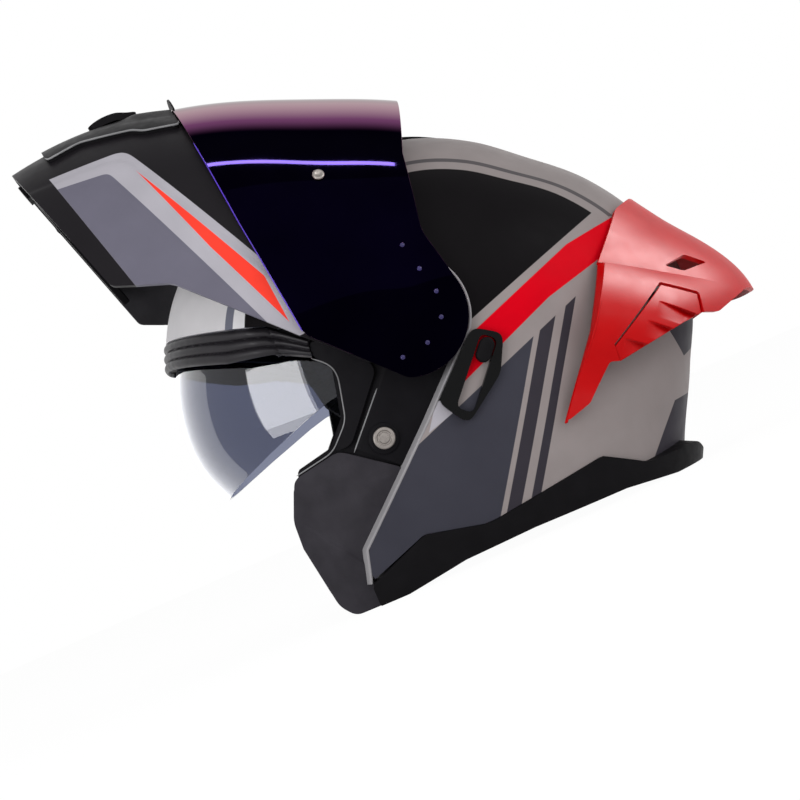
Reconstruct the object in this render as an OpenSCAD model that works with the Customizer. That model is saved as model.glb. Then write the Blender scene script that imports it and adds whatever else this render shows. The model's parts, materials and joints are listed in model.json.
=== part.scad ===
// Flip-up motorcycle helmet: shell, flip-up chin bar, face shield, drop-down sun visor,
// liner, chin strap and their hinges. Front is -X, the left side is -Y, the base is z = 0.
// Pieces that ride on the chin bar are drawn shut and then turned up about the hinge axis.

/* [Shell] */
// Length of the shell from brow to back
shell_length = 300; // [250:1:360]
// Width over the two sides of the shell
shell_width = 236; // [196:1:285]
// Wall of the outer shell
shell_wall = 4; // [3:0.1:5]
// Depth of the black trim along the bottom edge
trim_depth = 12; // [9:0.5:15]
// Thickness of the impact liner at the sides
liner_wall = 21; // [16:0.5:26]
// Thickness of the crown lining
lining_wall = 6; // [4:0.5:8]
// Thickness of a cheek pad at its crown
cheek_wall = 26; // [20:0.5:32]

/* [Chin bar] */
// Angle by which the chin bar is flipped up
chin_open = 88; // [0:1:88]
// Wall of the chin bar
chin_wall = 4; // [3:0.1:5]
// Step by which the chin bar stands proud of the shell's side
chin_proud = 1; // [0.5:0.1:2]
// Thickness of the foam inside the chin bar
chin_foam = 11.5; // [8:0.5:14]
// Width of the release button
button_w = 30; // [24:1:38]
// Travel of the release button
button_travel = 4; // [3:0.5:5]

/* [Face shield] */
// Wall of the face shield
visor_wall = 2.3; // [1.8:0.1:3]
// Gap between the face shield and the chin bar
visor_gap = 2.6; // [2:0.1:3.4]
// Diameter of the round stub that the face shield turns on
stub_d = 14; // [11:0.5:17]

/* [Sun visor] */
// Wall of the sun visor
lens_wall = 2; // [1.6:0.1:2.5]
// Gap from the shell's side to the sun visor at its pivots
lens_inset = 22; // [20:1:32]
// Diameter of the sun visor's pivot pins
lens_pin_d = 8; // [6:0.5:10]
// Travel of the sun visor's switch
switch_travel = 20; // [14:1:22]

/* [Hinge] */
// Diameter of the hinge post
post_d = 18; // [14:0.5:22]
// Radial clearance of every running fit
run_fit = 0.05; // [0.02:0.01:0.1]
// Thickness of the steel hinge arm
arm_plate = 2; // [1.5:0.1:2.5]
// Gap between the hinge arm and the chin bar at the hinge axis
arm_gap = 2.4; // [2:0.1:3]
// Thickness of the black hinge cover
cover_wall = 1.7; // [1.4:0.1:2.2]
// Diameter of the striker pin that the chin bar latches on
striker_d = 12.5; // [10:0.5:15]

/* [Clearances] */
// Gap between pieces that are seated on each other
seat = 0.3; // [0.2:0.05:0.4]
// Gap between pieces that pass each other
pass_gap = 0.6; // [0.5:0.05:0.9]

/* [Chin strap] */
// Width of the webbing
strap_w = 20; // [16:1:24]
// Thickness of the webbing
strap_t = 2.2; // [1.6:0.1:2.8]

/* [Hidden] */
$fn = 48;
k = shell_length / 300;
shape_p = 2.1;
shape_q = 2.3;
side_half = shell_width / 2;
lens_half = side_half - lens_inset;
chin_half = side_half + chin_proud;
arm_out = chin_half - chin_wall - arm_gap;
arm_in = arm_out - arm_plate;
cover_out = arm_in - pass_gap;
cover_in = cover_out - cover_wall;
recess_off = side_half - cover_in + seat;
cover_off = side_half - cover_out;
visor_half = chin_half + visor_gap + visor_wall;
post_r = post_d / 2;
stub_r = stub_d / 2;
striker_r = striker_d / 2;
lens_pin_r = lens_pin_d / 2;

// Hinge axis of the chin bar and face shield, and the sun visor's own pivot, in the side view
pivot = k * [-18, 140];
lens_pivot = k * [-30, 115];

// Profile radii about those axes every 15 degrees, from the back over the crown to the front
shell_r = k * [166, 149, 132.5, 124.5, 118.5, 113.5, 112, 116, 123.5, 129.5, 135, 138,
               138.5, 147.5, 168, 196, 240, 262, 262, 244, 215, 186, 178, 179];
trim_r = k * [166, 149, 132.5, 124.5, 118.5, 113.5, 112, 116, 123.5, 129.5, 135, 138,
              138.5, 147.5, 168, 196, 240, 262, 262, 244, 217, 197, 186, 179];
chin_r = k * [200, 190, 180, 170, 160, 150, 146, 144, 144, 145, 146, 148,
              152, 172, 213, 255, 300, 330, 330, 300, 270, 250, 230, 210];
visor_r = k * [205, 195, 185, 175, 165, 155, 146, 142, 140, 139, 139, 142.3,
               152.5, 178.5, 212, 252, 295, 325, 330, 310, 280, 260, 240, 220];
tail_r = k * [175, 153, 138, 130, 125, 120, 118, 122, 130, 138, 145, 148,
              148, 154, 174, 202, 246, 270, 275, 262, 262, 233, 228, 216];
lens_r = k * [120, 120, 120, 120, 120, 120, 120, 122, 126, 129, 130, 129.5,
              127, 119.5, 112, 112, 112, 112, 112, 112, 112, 112, 115, 118];
sweep_r = k * [for (i = [0:23]) 113];
tail_p = 1.95;
tail_proud = 3.5;
tail_wall = 3.9;
tail_half = side_half + tail_proud;
grille_wall = 2;

// How far each layer lies outside or inside the shell's surface
trim_proud = 1;
gasket_proud = 0.3;
gasket_depth = 2.5;
eyeport_depth = 6;
jaw_depth = 6.5;
vent_h = 2;
bezel_h = 3.5;
slider_h = 3;
vent_cover_h = 3.2;
door_low = 4.2;
door_high = 8.5;
rim_depth = 26;
guard_wall = 2;
neck_wall = 18;
striker_boss_h = 1.4;
striker_neck_h = 2;
striker_cap_h = 1.8;

// Side-view outlines
face_cut = k * [[-260, 194], [-150, 190], [-90, 167], [-72, 150], [-66, 130], [-72, 104], [-84, 91],
                [-105, 87], [-114, 62], [-115, 44], [-109, 12], [-109, -200], [-260, -200]];
base_cut = k * [[-120, 13], [-93, 14], [-56, 27], [-23, 19], [-16, 19], [53, 27], [79, 13], [140, 12],
                [140, -300], [-260, -300], [-260, 13]];
trim_outline = k * [[-92, 12.5], [-56, 26.6], [-23, 18.6], [-16, 18.6], [53, 26.6], [79, 12.6],
                    [116, 11.6], [127, 0], [95, 0], [60, 4.5], [2, 6], [-40, 5], [-76, 0], [-92, 0]];
gasket_outline = k * [[-260, 193.4], [-150, 189.6], [-90.6, 166.4], [-92, 151], [-117, 157], [-150, 172],
                      [-260, 176]];
eyeport_outline = k * [[-91.4, 150.5], [-90, 166], [-72, 149.5], [-50, 142], [-44.5, 120], [-73, 87.5],
                       [-83.5, 88], [-70, 101], [-64, 126], [-66, 133], [-75, 140.5]];
jaw_outline = k * [[-80, 86.8], [-51, 64.6], [-88.5, 31], [-93, 13], [-93, 0], [-107, 0], [-113.5, 8],
                   [-119, 44], [-118, 62], [-109, 83], [-84, 87]];
chin_rim = k * [[-103, 2], [-97.5, 14], [-89.8, 32.5], [-33.5, 82.8]];
chin_brow = k * [[-52, 112], [-62, 98], [-80, 92], [-104, 89], [-187, 84], [-240, 83], [-240, -36.7]];
vent_outline = k * [[-260, -12], [-192, -2], [-194, 19], [-186, 50], [-182, 55], [-177, 72], [-260, 71]];
door_outline = k * [[-260, 26], [-160, 26], [-160, 53], [-260, 53]];
foam_outline = k * [[-124, 12], [-124, 78], [-260, 74], [-260, -22]];
rim_outline = k * [[-121, -3], [-240, -36.7], [-242, -30.5], [-123, 3]];
guard_outline = k * [[-150, 42], [-150, 92], [-260, 96], [-260, 40]];
visor_top = k * [[-57, 168], [-103, 180], [-151, 203], [-240, 246]];
visor_low = k * [[-240, 74], [-197, 76], [-104, 80], [-32, 85.5]];
lens_outline = k * [[-230, 180], [-147, 175], [-112, 161], [-74, 143], [-45, 129], [-26, 125], [-20, 115],
                    [-26, 105], [-40, 107], [-69, 116.5], [-85, 112.3], [-100, 107.3], [-115, 102.3], [-132, 96],
                    [-148, 89.5], [-230, 60]];
lens_room = k * [[-14, 98], [-12, 135], [-30, 262], [-260, 262], [-260, 60]];
liner_cut = k * [[-260, 184], [-150, 182], [-90, 160], [-64, 150], [-50, 112], [-22, 62], [140, 42],
                 [140, -300], [-260, -300]];
tail_outline = k * [[39, 52], [57, 56.5], [76, 73], [82, 71], [126, 77], [141, 78], [151, 75], [179, 82],
                    [230, 70], [230, 157.5], [137.5, 157.5], [122.5, 153], [94, 126.5], [73, 93]];
grille_outline = k * [[82, 82], [121, 101], [142, 89], [140, 79.5]];
grille_centre = k * [118, 88];
grille_lap = 3;
louvre_outline = k * [[100, 84], [132, 83], [132, 80.8], [100, 81.4]];
louvre_step = k * [3, 5];
outlet_outline = k * [[131, 111], [147, 113], [159, 104], [141, 104]];
bezel_outline = k * [[10, 118], [14, 119], [25, 112], [26, 108], [17, 91], [-8, 74], [-12, 75], [-20, 88],
                     [-19, 92]];
// The switch's slot: its direction, its end with the sun visor down, and its end past the travel
slot_way = [18, 20] / norm([18, 20]);
slot_high = k * [14, 106];
slot_low = k * [-4, 86] + (20 - switch_travel) * slot_way;
vent_zone = k * [[-10, 275], [-10, 230], [40, 215], [62, 205], [62, 275]];
neck_outline = k * [[15, 14], [52, 28], [78, 15], [104, 14], [120, 36], [15, 44]];
striker_at = k * [-55, 84];
pinlock_at = k * [-110, 131];
vent_angle = 76;
button_tilt = -15.8;
button_at = k * [-189.5, -22.4];
button_d = 9 * k;
button_base = 4.5;
button_sink = 2;

function wrap(i, n) = ((i % n) + n) % n;
function smooth4(a, b, c, d, t) =
  0.5 * (2 * b + (c - a) * t + (2 * a - 5 * b + 4 * c - d) * t * t + (3 * b - a - 3 * c + d) * t * t * t);
// Radius of a profile at an angle, on a smooth closed curve through the listed radii
function radius(table, a) =
  let (n = len(table), s = a * n / 360, i = floor(s))
  smooth4(table[wrap(i - 1, n)], table[wrap(i, n)], table[wrap(i + 1, n)], table[wrap(i + 2, n)], s - i);
// Half width of a rounded body at a side-view point: the body closes like a superellipse
function half_at(c, table, half, off, at, p = shape_p) =
  let (d = at - c, r = norm(d) / (radius(table, atan2(d[1], d[0])) + off))
  (half + off) * pow(max(0, 1 - pow(r, p)), 1 / shape_q);
function arc(c, r, a0, a1, n) = [for (i = [0:n]) let (a = a0 + (a1 - a0) * i / n) c + r * [cos(a), sin(a)]];
function shifted(list, by) = [for (p = list) p + by];

// Recess in each side of the shell, grown by g all round
function recess_outline(g) = concat(
  [[-300, -150] * k, [-92 * k + g, -150 * k], [-92 * k + g, 13 * k], [-87 * k + g, 31 * k - 0.5 * g],
   [-30 * k + 0.7 * g, 81.5 * k - 0.7 * g], [5 * k + 0.7 * g, 114 * k - 0.7 * g]],
  arc(pivot, 36 * k + g, -35, 100, 14),
  [[-42 * k, 190 * k + g], [-70 * k - 0.7 * g, 179 * k + g], [-80 * k - g, 163 * k + g],
   [-300 * k, 150 * k + g]]);
cover_outline = concat(
  k * [[-72, 85.5], [-50, 64.8], [-32, 81.8], [2, 113.5]], arc(pivot, 34.4 * k, -38, 100, 14),
  k * [[-42, 183], [-62, 171], [-68, 149], [-49, 142.5], [-43.5, 119.5]]);
chin_outline = concat(chin_rim, [k * [0, 115.6]], arc(pivot, 30 * k, -38, 165, 16), chin_brow);
visor_outline = concat(visor_low, arc(pivot, 34 * k, -24, 100, 14), visor_top);

// Closed rounded body about a hinge axis, in triangles
module rounded_body(c, table, half, off, n, m, p = shape_p) {
  rings = [for (i = [1:m]) let (s = -90 + 180 * i / (m + 1)) for (j = [0:n - 1])
    let (a = 360 * j / n, r = (radius(table, a) + off) * pow(cos(s), 2 / p))
    [c[0] + r * cos(a), sign(s) * (half + off) * pow(abs(sin(s)), 2 / shape_q), c[1] + r * sin(a)]];
  poles = [[c[0], -(half + off), c[1]], [c[0], half + off, c[1]]];
  faces = concat(
    [for (i = [0:m - 2]) for (j = [0:n - 1]) let (a = i * n + j, b = i * n + (j + 1) % n)
      each [[a, b, a + n], [b, b + n, a + n]]],
    [for (j = [0:n - 1]) [(j + 1) % n, j, m * n]],
    [for (j = [0:n - 1]) [(m - 1) * n + j, (m - 1) * n + (j + 1) % n, m * n + 1]]);
  polyhedron(concat(rings, poles), faces);
}
module shell_body(off, n = 40, m = 19) rounded_body(pivot, shell_r, side_half, off, n, m);
module chin_body(off, n = 40, m = 19) rounded_body(pivot, chin_r, chin_half, off, n, m);
module tail_body(off, n = 40, m = 19) rounded_body(pivot, tail_r, tail_half, off, n, m, tail_p);
// Layer of the shell's shape between two offsets
module shell_layer(outer, inner, n = 40, m = 19) difference() {
  shell_body(outer, n, m);
  shell_body(inner, n, m);
}
module chin_layer(outer, inner, n = 40, m = 19) difference() {
  chin_body(outer, n, m);
  chin_body(inner, n, m);
}
module both_sides(outline) rotate([90, 0, 0]) linear_extrude(4 * side_half, center = true) polygon(outline);
module left_side(outline) rotate([90, 0, 0]) linear_extrude(2 * side_half) polygon(outline);
// Round pin across the left side, from one half width out to another
module side_pin(at, r, y0, y1) translate([at[0], -y0, at[1]]) rotate([90, 0, 0]) cylinder(r = r, h = y1 - y0);
module right_side() mirror([0, 1, 0]) children();
module pair() {
  children();
  right_side() children();
}
// Turns a piece that is drawn shut up with the chin bar
module flipped_up() translate([pivot[0], 0, pivot[1]]) rotate([0, chin_open, 0])
  translate([-pivot[0], 0, -pivot[1]]) children();
// Flat bar with round ends, lying along X
module pill(length, width, height) {
  translate([-(length - width) / 2, -width / 2, 0]) cube([length - width, width, height]);
  for (s = [-1, 1]) translate([s * (length - width) / 2, 0, 0]) cylinder(r = width / 2, h = height);
}

module outer_shell() color("#b8b4b8") difference() {
  union() {
    difference() {
      shell_body(0);
      both_sides(recess_outline(0));
    }
    shell_body(-recess_off);
  }
  union() {
    difference() {
      shell_body(-shell_wall);
      both_sides(recess_outline(shell_wall));
    }
    shell_body(-recess_off - shell_wall);
  }
  both_sides(face_cut);
  both_sides(base_cut);
}
module lower_trim() color("#141416") intersection() {
  difference() {
    rounded_body(pivot, trim_r, side_half, trim_proud, 40, 19);
    shell_body(-trim_depth + trim_proud);
  }
  both_sides(trim_outline);
}
module brow_gasket() color("#3a393d") intersection() {
  shell_layer(gasket_proud, -gasket_depth);
  both_sides(gasket_outline);
}
module eyeport_trim_left() color("#232225") intersection() {
  shell_layer(-eyeport_depth, -recess_off + seat);
  left_side(eyeport_outline);
}
module eyeport_trim_right() right_side() eyeport_trim_left();
striker_seat = half_at(pivot, shell_r, side_half, -cover_off, striker_at);
striker_cap = striker_seat + striker_boss_h + striker_neck_h;
module hinge_cover_left() color("#161518") difference() {
  union() {
    intersection() {
      shell_layer(-cover_off, -recess_off + seat);
      left_side(cover_outline);
    }
    side_pin(striker_at, striker_r + 2.5, striker_seat - 1.2, striker_seat + striker_boss_h);
  }
  side_pin(pivot, post_r + pass_gap, cover_in - 4, cover_out + 4);
}
module hinge_cover_right() right_side() hinge_cover_left();
module jaw_cover_left() color("#2b2a2c") intersection() {
  shell_layer(-jaw_depth, -recess_off + seat);
  left_side(jaw_outline);
}
module jaw_cover_right() right_side() jaw_cover_left();
// Stands on the boss of the hinge cover, with a wider cap
module striker_pins() color("#8d8783") pair() {
  side_pin(striker_at, striker_r - 1.2, striker_seat + striker_boss_h, striker_cap);
  side_pin(striker_at, striker_r, striker_cap, striker_cap + striker_cap_h);
}
module hinge_posts() color("#9a9a9c") pair() side_pin(pivot, post_r, cover_in, arm_out + pass_gap / 2);

module rear_spoiler() color("#c8101c") difference() {
  intersection() {
    difference() {
      tail_body(0);
      tail_body(-tail_wall);
    }
    both_sides(tail_outline);
  }
  both_sides(grille_outline);
  both_sides(outlet_outline);
}
// Louvred panel behind the opening in the spoiler
module exhaust_grille_left() color("#7c1520") difference() {
  intersection() {
    difference() {
      tail_body(-tail_wall - seat);
      tail_body(-tail_wall - seat - grille_wall);
    }
    left_side([for (p = grille_outline) let (d = p - grille_centre) p + grille_lap * d / norm(d)]);
  }
  for (i = [0:2]) left_side(shifted(louvre_outline, i * louvre_step));
}
module exhaust_grille_right() right_side() exhaust_grille_left();

module top_vent_base() color("#8a8284") intersection() {
  shell_layer(vent_h, seat);
  both_sides(vent_zone);
  translate([-20 * k, -24 * k, 0]) cube([120, 48, 300] * k);
}
// Sits on the vent base and slides back along the crown
vent_slope = atan((radius(shell_r, vent_angle + 2) - radius(shell_r, vent_angle - 2)) * 45
  / (PI * radius(shell_r, vent_angle)));
module top_vent_slider() color("#1a191b") translate([pivot[0], 0, pivot[1]]) rotate([0, 90 - vent_angle, 0])
  translate([0, 0, radius(shell_r, vent_angle)]) rotate([0, vent_slope, 0])
    translate([-4 * k, 0, vent_h + 2 * seat]) rotate([0, 0, 90]) pill(26 * k, 12 * k, slider_h);

slot_side = [-slot_way[1], slot_way[0]];
function slot_outline(w, reach) =
  let (low = slot_low - reach * slot_way, high = slot_high + reach * slot_way)
  [low + w * slot_side, high + w * slot_side, high - w * slot_side, low - w * slot_side];
module switch_bezel() color("#0c0c0d") difference() {
  intersection() {
    shell_layer(bezel_h, seat);
    left_side(bezel_outline);
  }
  left_side(slot_outline(5 * k, 8 * k));
}
switch_seat = half_at(pivot, shell_r, side_half, 0, slot_low) + 1;
module sun_visor_switch() color("#1c1c1e")
  translate([slot_high[0], -switch_seat, slot_high[1]]) rotate([90, 0, 0])
    rotate([0, 0, atan2(slot_way[1], slot_way[0])]) pill(14 * k, 8.4 * k, 5.5);

module sun_visor() color("#5a6078", 0.5) intersection() {
  difference() {
    rounded_body(lens_pivot, lens_r, lens_half, 0, 40, 19);
    rounded_body(lens_pivot, lens_r, lens_half, -lens_wall, 40, 19);
  }
  both_sides(lens_outline);
}
lens_pin_end = half_at(pivot, shell_r, side_half, -recess_off - shell_wall, lens_pivot) - seat - 0.3;
module sun_visor_bosses() color("#222226") pair() difference() {
  side_pin(lens_pivot, lens_pin_r + 5, lens_half + seat, lens_half + seat + 4);
  side_pin(lens_pivot, lens_pin_r + run_fit, lens_half - 1, lens_half + 9);
}
module sun_visor_pins() color("#9a9a9c") pair()
  side_pin(lens_pivot, lens_pin_r, lens_half + seat + 0.3, lens_pin_end);

liner_in = recess_off + shell_wall + 0.7 + liner_wall;
liner_skin = 3;
module impact_liner() color("#2e2e31") difference() {
  union() {
    difference() {
      shell_body(-shell_wall - 1);
      both_sides(recess_outline(shell_wall + 1.2));
    }
    shell_body(-recess_off - shell_wall - 0.7);
  }
  shell_body(-liner_in, 32, 15);
  difference() {
    both_sides(lens_room);
    rounded_body(lens_pivot, sweep_r, lens_half - lens_wall - 3, 0, 40, 19);
    shell_body(-liner_in + liner_skin, 32, 15);
  }
  both_sides(liner_cut);
}
module crown_lining() color("#1c1c1f") difference() {
  shell_layer(-liner_in - 2 * seat, -liner_in - lining_wall, 32, 15);
  both_sides(shifted(liner_cut, k * [0, 5]));
}
// Crowned pad on the inside of the jaw: its back follows the shell, its face swells
pad_back = recess_off + shell_wall + 1.6;
pad_n = 16;
pad_m = 12;
// Corners of the pad in the side view: low front, low back, high back, high front
pad_corner = k * [[-106, 17], [-15, 21], [-24, 62], [-88, 82]];
function pad_at(u, v) =
  let (e = 1.25 * (1 - 0.2 * u * u * v * v), s = (u * e / 1.25 + 1) / 2, t = (v * e / 1.25 + 1) / 2)
  (1 - t) * ((1 - s) * pad_corner[0] + s * pad_corner[1]) + t * (s * pad_corner[2] + (1 - s) * pad_corner[3]);
function pad_depth(u, v) = 6 + (cheek_wall - 6) * sqrt(max(0, (1 - pow(u, 4)) * (1 - pow(v, 4))));
module cheek_pad_left() color("#18181a") {
  w = pad_n + 1;
  count = w * (pad_m + 1);
  grid = [for (j = [0:pad_m]) for (i = [0:pad_n]) [2 * i / pad_n - 1, 2 * j / pad_m - 1]];
  back = [for (g = grid) let (at = pad_at(g[0], g[1]))
    [at[0], -half_at(pivot, shell_r, side_half, -pad_back, at), at[1]]];
  front = [for (i = [0:count - 1]) back[i] + [0, pad_depth(grid[i][0], grid[i][1]), 0]];
  edge = concat([for (i = [0:pad_n - 1]) i], [for (j = [0:pad_m - 1]) j * w + pad_n],
    [for (i = [0:pad_n - 1]) pad_m * w + pad_n - i], [for (j = [0:pad_m - 1]) (pad_m - j) * w]);
  quads = [for (j = [0:pad_m - 1]) for (i = [0:pad_n - 1]) let (a = j * w + i) [a, a + 1, a + w + 1, a + w]];
  polyhedron(concat(back, front), concat(
    [for (q = quads) each [[q[0], q[2], q[1]], [q[0], q[3], q[2]]]],
    [for (q = quads) each [[q[0], q[1], q[2]] + count * [1, 1, 1], [q[0], q[2], q[3]] + count * [1, 1, 1]]],
    [for (i = [0:len(edge) - 1]) let (a = edge[i], b = edge[(i + 1) % len(edge)])
      each [[a, b, b + count], [a, b + count, a + count]]]));
}
module cheek_pad_right() right_side() cheek_pad_left();
module neck_roll() color("#1a1a1c") intersection() {
  shell_layer(-trim_depth + trim_proud - seat, -trim_depth - neck_wall);
  both_sides(neck_outline);
}

// Webbing from a rivet on the shell, down behind the cheek pad and across under the chin
strap_x = k * 0;
strap_top = half_at(pivot, shell_r, side_half, -shell_wall, k * [0, 40]) - 1.6;
strap_way = [[strap_top, 58 * k], [strap_top, 42 * k], [strap_top - 16, 22 * k], [58, 10], [18, 7]];
function strap_outline() = concat(strap_way, [for (i = [len(strap_way) - 1:-1:0]) strap_way[i]
  + strap_t * (i < 2 ? [-1, 0] : i == 2 ? [-0.8, 0.6] : [0, 1])]);
module strap_left() color("#1d1d1f") translate([strap_x - strap_w / 2, 0, 0]) rotate([90, 0, 90])
  linear_extrude(strap_w) polygon([for (p = strap_outline()) [-p[0], p[1]]]);
module strap_right() right_side() strap_left();
module strap_rivets() color("#8d8d90") pair()
  side_pin([strap_x, 50 * k], 6, strap_top - strap_t - seat - 2.2, strap_top - strap_t - seat);
buckle_z = 2;
buckle_h = 9;
lever_z = buckle_z + buckle_h + 2.5;
module buckle_body() color("#26262a") {
  difference() {
    translate([strap_x - strap_w / 2 - 3, -17.6, buckle_z]) cube([strap_w + 6, 35.2, buckle_h]);
    translate([strap_x - strap_w / 2 - pass_gap, -18, buckle_z + 3]) cube([strap_w + 2 * pass_gap, 36, 3.8]);
  }
  for (s = [-1, 1]) translate([strap_x + s * (strap_w / 2 + 1.75) - 1.25, -10.4, buckle_z + buckle_h])
    cube([2.5, 4.8, 5]);
  translate([strap_x + strap_w / 2 + 1, -8, lever_z]) rotate([0, -90, 0]) cylinder(r = 1, h = strap_w + 2);
}
// Toothed tongue at the end of the other webbing
module buckle_tongue() color("#3a3a3e") {
  translate([strap_x - strap_w / 2, -12, buckle_z + 3.4]) cube([strap_w, 29.6, 1.2]);
  for (i = [0:5]) translate([strap_x - strap_w / 2 + 6, -10 + 4 * i, buckle_z + 4.6])
    cube([strap_w - 12, 1.6, 0.8]);
}
// Pull lever that turns on the pin between the buckle's ears
module buckle_lever() color("#b01018") difference() {
  union() {
    translate([strap_x - strap_w / 2, -26, buckle_z + buckle_h + seat]) cube([strap_w, 18, 2.2]);
    translate([strap_x + strap_w / 2, -8, lever_z]) rotate([0, -90, 0]) cylinder(r = 2.2, h = strap_w);
  }
  translate([strap_x + strap_w / 2 + 1, -8, lever_z]) rotate([0, -90, 0])
    cylinder(r = 1 + run_fit, h = strap_w + 2);
}

module chin_bar() color("#a6a3ab") flipped_up() intersection() {
  chin_layer(0, -chin_wall);
  both_sides(chin_outline);
}
module chin_foam_liner() color("#303034") flipped_up() intersection() {
  chin_layer(-chin_wall - seat, -chin_wall - seat - chin_foam);
  both_sides(foam_outline);
}
module chin_rim_trim() color("#1b1b1d") flipped_up() difference() {
  intersection() {
    chin_layer(-chin_wall - seat, -chin_wall - rim_depth);
    both_sides(rim_outline);
  }
  button_place() translate([0, 0, -20]) pill(button_w + 2 * pass_gap, button_d + 2 * pass_gap, 40);
}
// Frame of the release button, square to the bottom rim of the chin bar
module button_place() translate([button_at[0], 0, button_at[1]]) rotate([0, button_tilt, 0])
  rotate([0, 0, 90]) children();
module release_button() color("#3c3c40") flipped_up() button_place()
  translate([0, 0, -button_sink]) pill(button_w, button_d, button_travel + button_base);
module chin_vent_cover() color("#1c1b1e") flipped_up() intersection() {
  chin_layer(vent_cover_h, seat);
  both_sides(vent_outline);
}
module chin_vent_door() color("#29282b") flipped_up() intersection() {
  chin_layer(door_high, door_low);
  both_sides(door_outline);
  translate([-260 * k, -24 * k, 0]) cube([120, 48, 100] * k);
}
guard_off = chin_wall + chin_foam + 2 * seat;
module breath_guard() color("#202023") flipped_up() intersection() {
  chin_layer(-guard_off, -guard_off - guard_wall);
  both_sides(guard_outline);
}
arm_end = pivot + k * [-30, -33];
arm_side = k * [-5.9, 5.4];
module hinge_arm_left() color("#77777a") flipped_up() translate([0, -arm_in, 0]) rotate([90, 0, 0])
  linear_extrude(arm_plate) difference() {
    union() {
      translate(pivot) circle(r = post_r + 11 * k);
      translate(arm_end) circle(r = 8 * k);
      polygon([pivot + 2 * arm_side, arm_end + arm_side, arm_end - arm_side, pivot - 2 * arm_side]);
    }
    translate(pivot) circle(r = post_r + run_fit);
  }
module hinge_arm_right() right_side() hinge_arm_left();
// Fork on the chin bar that takes the striker pin between its boss and its cap
fork_back = striker_at + k * [-19, 5];
fork_way = k * [0.83, -0.56];
fork_side = k * [0.56, 0.83];
fork_r = striker_r - 0.7;
fork_y = striker_seat + striker_boss_h + seat;
module latch_forks() color("#77777a") flipped_up() pair() {
  translate([0, -fork_y, 0]) rotate([90, 0, 0]) linear_extrude(striker_neck_h - 2 * seat) difference() {
    union() {
      translate(striker_at) circle(r = striker_r + 4);
      polygon([striker_at + (striker_r + 4) * fork_side, striker_at - (striker_r + 4) * fork_side,
        fork_back - 6 * fork_side, fork_back + 6 * fork_side]);
    }
    translate(striker_at) circle(r = fork_r);
    polygon([striker_at + fork_r * fork_side, striker_at - fork_r * fork_side,
      striker_at - fork_r * fork_side + 14 * fork_way, striker_at + fork_r * fork_side + 14 * fork_way]);
  }
  side_pin(fork_back, 5, fork_y,
    half_at(pivot, chin_r, chin_half, -chin_wall, fork_back + k * [-4, -4]) - seat);
}
module visor_stubs() color("#2a2a2c") pair() side_pin(pivot, stub_r, chin_half, chin_half + visor_gap - 3 * seat);
module face_shield() color("#3a2740", 0.85) flipped_up() intersection() {
  difference() {
    rounded_body(pivot, visor_r, visor_half, 0, 48, 23);
    rounded_body(pivot, visor_r, visor_half, -visor_wall, 48, 23);
  }
  both_sides(visor_outline);
}
// Ring inside the face shield that turns on the stub
module visor_hubs() color("#2a2a2c") pair() difference() {
  side_pin(pivot, stub_r + 6, chin_half + pass_gap, chin_half + visor_gap - 3 * seat);
  side_pin(pivot, stub_r + run_fit, chin_half, chin_half + visor_gap + 1);
}
// Round pin that holds the anti-fog lens, seated on the face shield along its slope
pin_y = half_at(pivot, visor_r, visor_half, 0, pinlock_at);
pin_slope = atan((half_at(pivot, visor_r, visor_half, 0, pinlock_at + [2, 0])
  - half_at(pivot, visor_r, visor_half, 0, pinlock_at - [2, 0])) / 4);
module visor_pins() color("#c9a2a8") flipped_up() pair() translate([pinlock_at[0], -pin_y, pinlock_at[1]])
  rotate([0, 0, -pin_slope]) rotate([90, 0, 0]) translate([0, 0, 2 * seat]) cylinder(r = 3.4, h = 1.3);

outer_shell();
lower_trim();
brow_gasket();
eyeport_trim_left();
eyeport_trim_right();
hinge_cover_left();
hinge_cover_right();
jaw_cover_left();
jaw_cover_right();
striker_pins();
hinge_posts();
rear_spoiler();
exhaust_grille_left();
exhaust_grille_right();
top_vent_base();
top_vent_slider();
switch_bezel();
sun_visor_switch();
sun_visor();
sun_visor_bosses();
sun_visor_pins();
impact_liner();
crown_lining();
cheek_pad_left();
cheek_pad_right();
neck_roll();
strap_left();
strap_right();
strap_rivets();
buckle_body();
buckle_tongue();
buckle_lever();
chin_bar();
chin_foam_liner();
chin_rim_trim();
chin_vent_cover();
chin_vent_door();
breath_guard();
hinge_arm_left();
hinge_arm_right();
latch_forks();
release_button();
visor_stubs();
face_shield();
visor_hubs();
visor_pins();
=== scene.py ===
"""Flip-up helmet with its chin bar raised: the looks of every piece, as surfaces round the frame.

Front is -X, the left side is -Y, up is +Z. Shapes are worked out in millimetres and stored in metres.
"""
import json
import math

import bmesh
import bpy
import numpy as np
from mathutils import Matrix, Vector


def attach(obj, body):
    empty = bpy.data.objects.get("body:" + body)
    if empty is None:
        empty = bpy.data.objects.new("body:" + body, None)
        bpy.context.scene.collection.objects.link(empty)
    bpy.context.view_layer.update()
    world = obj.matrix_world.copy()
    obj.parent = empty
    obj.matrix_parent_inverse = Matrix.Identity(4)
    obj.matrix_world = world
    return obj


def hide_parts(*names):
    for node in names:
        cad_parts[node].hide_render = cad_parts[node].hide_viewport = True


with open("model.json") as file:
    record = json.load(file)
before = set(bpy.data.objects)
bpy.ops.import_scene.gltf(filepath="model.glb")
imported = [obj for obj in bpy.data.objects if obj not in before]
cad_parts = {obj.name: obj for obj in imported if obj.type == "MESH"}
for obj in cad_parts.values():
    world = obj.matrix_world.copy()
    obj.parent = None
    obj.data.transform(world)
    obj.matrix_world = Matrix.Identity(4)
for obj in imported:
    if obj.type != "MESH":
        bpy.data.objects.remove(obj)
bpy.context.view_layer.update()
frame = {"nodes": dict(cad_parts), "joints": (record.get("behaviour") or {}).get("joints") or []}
scene = bpy.context.scene
MM = 0.001

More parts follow.
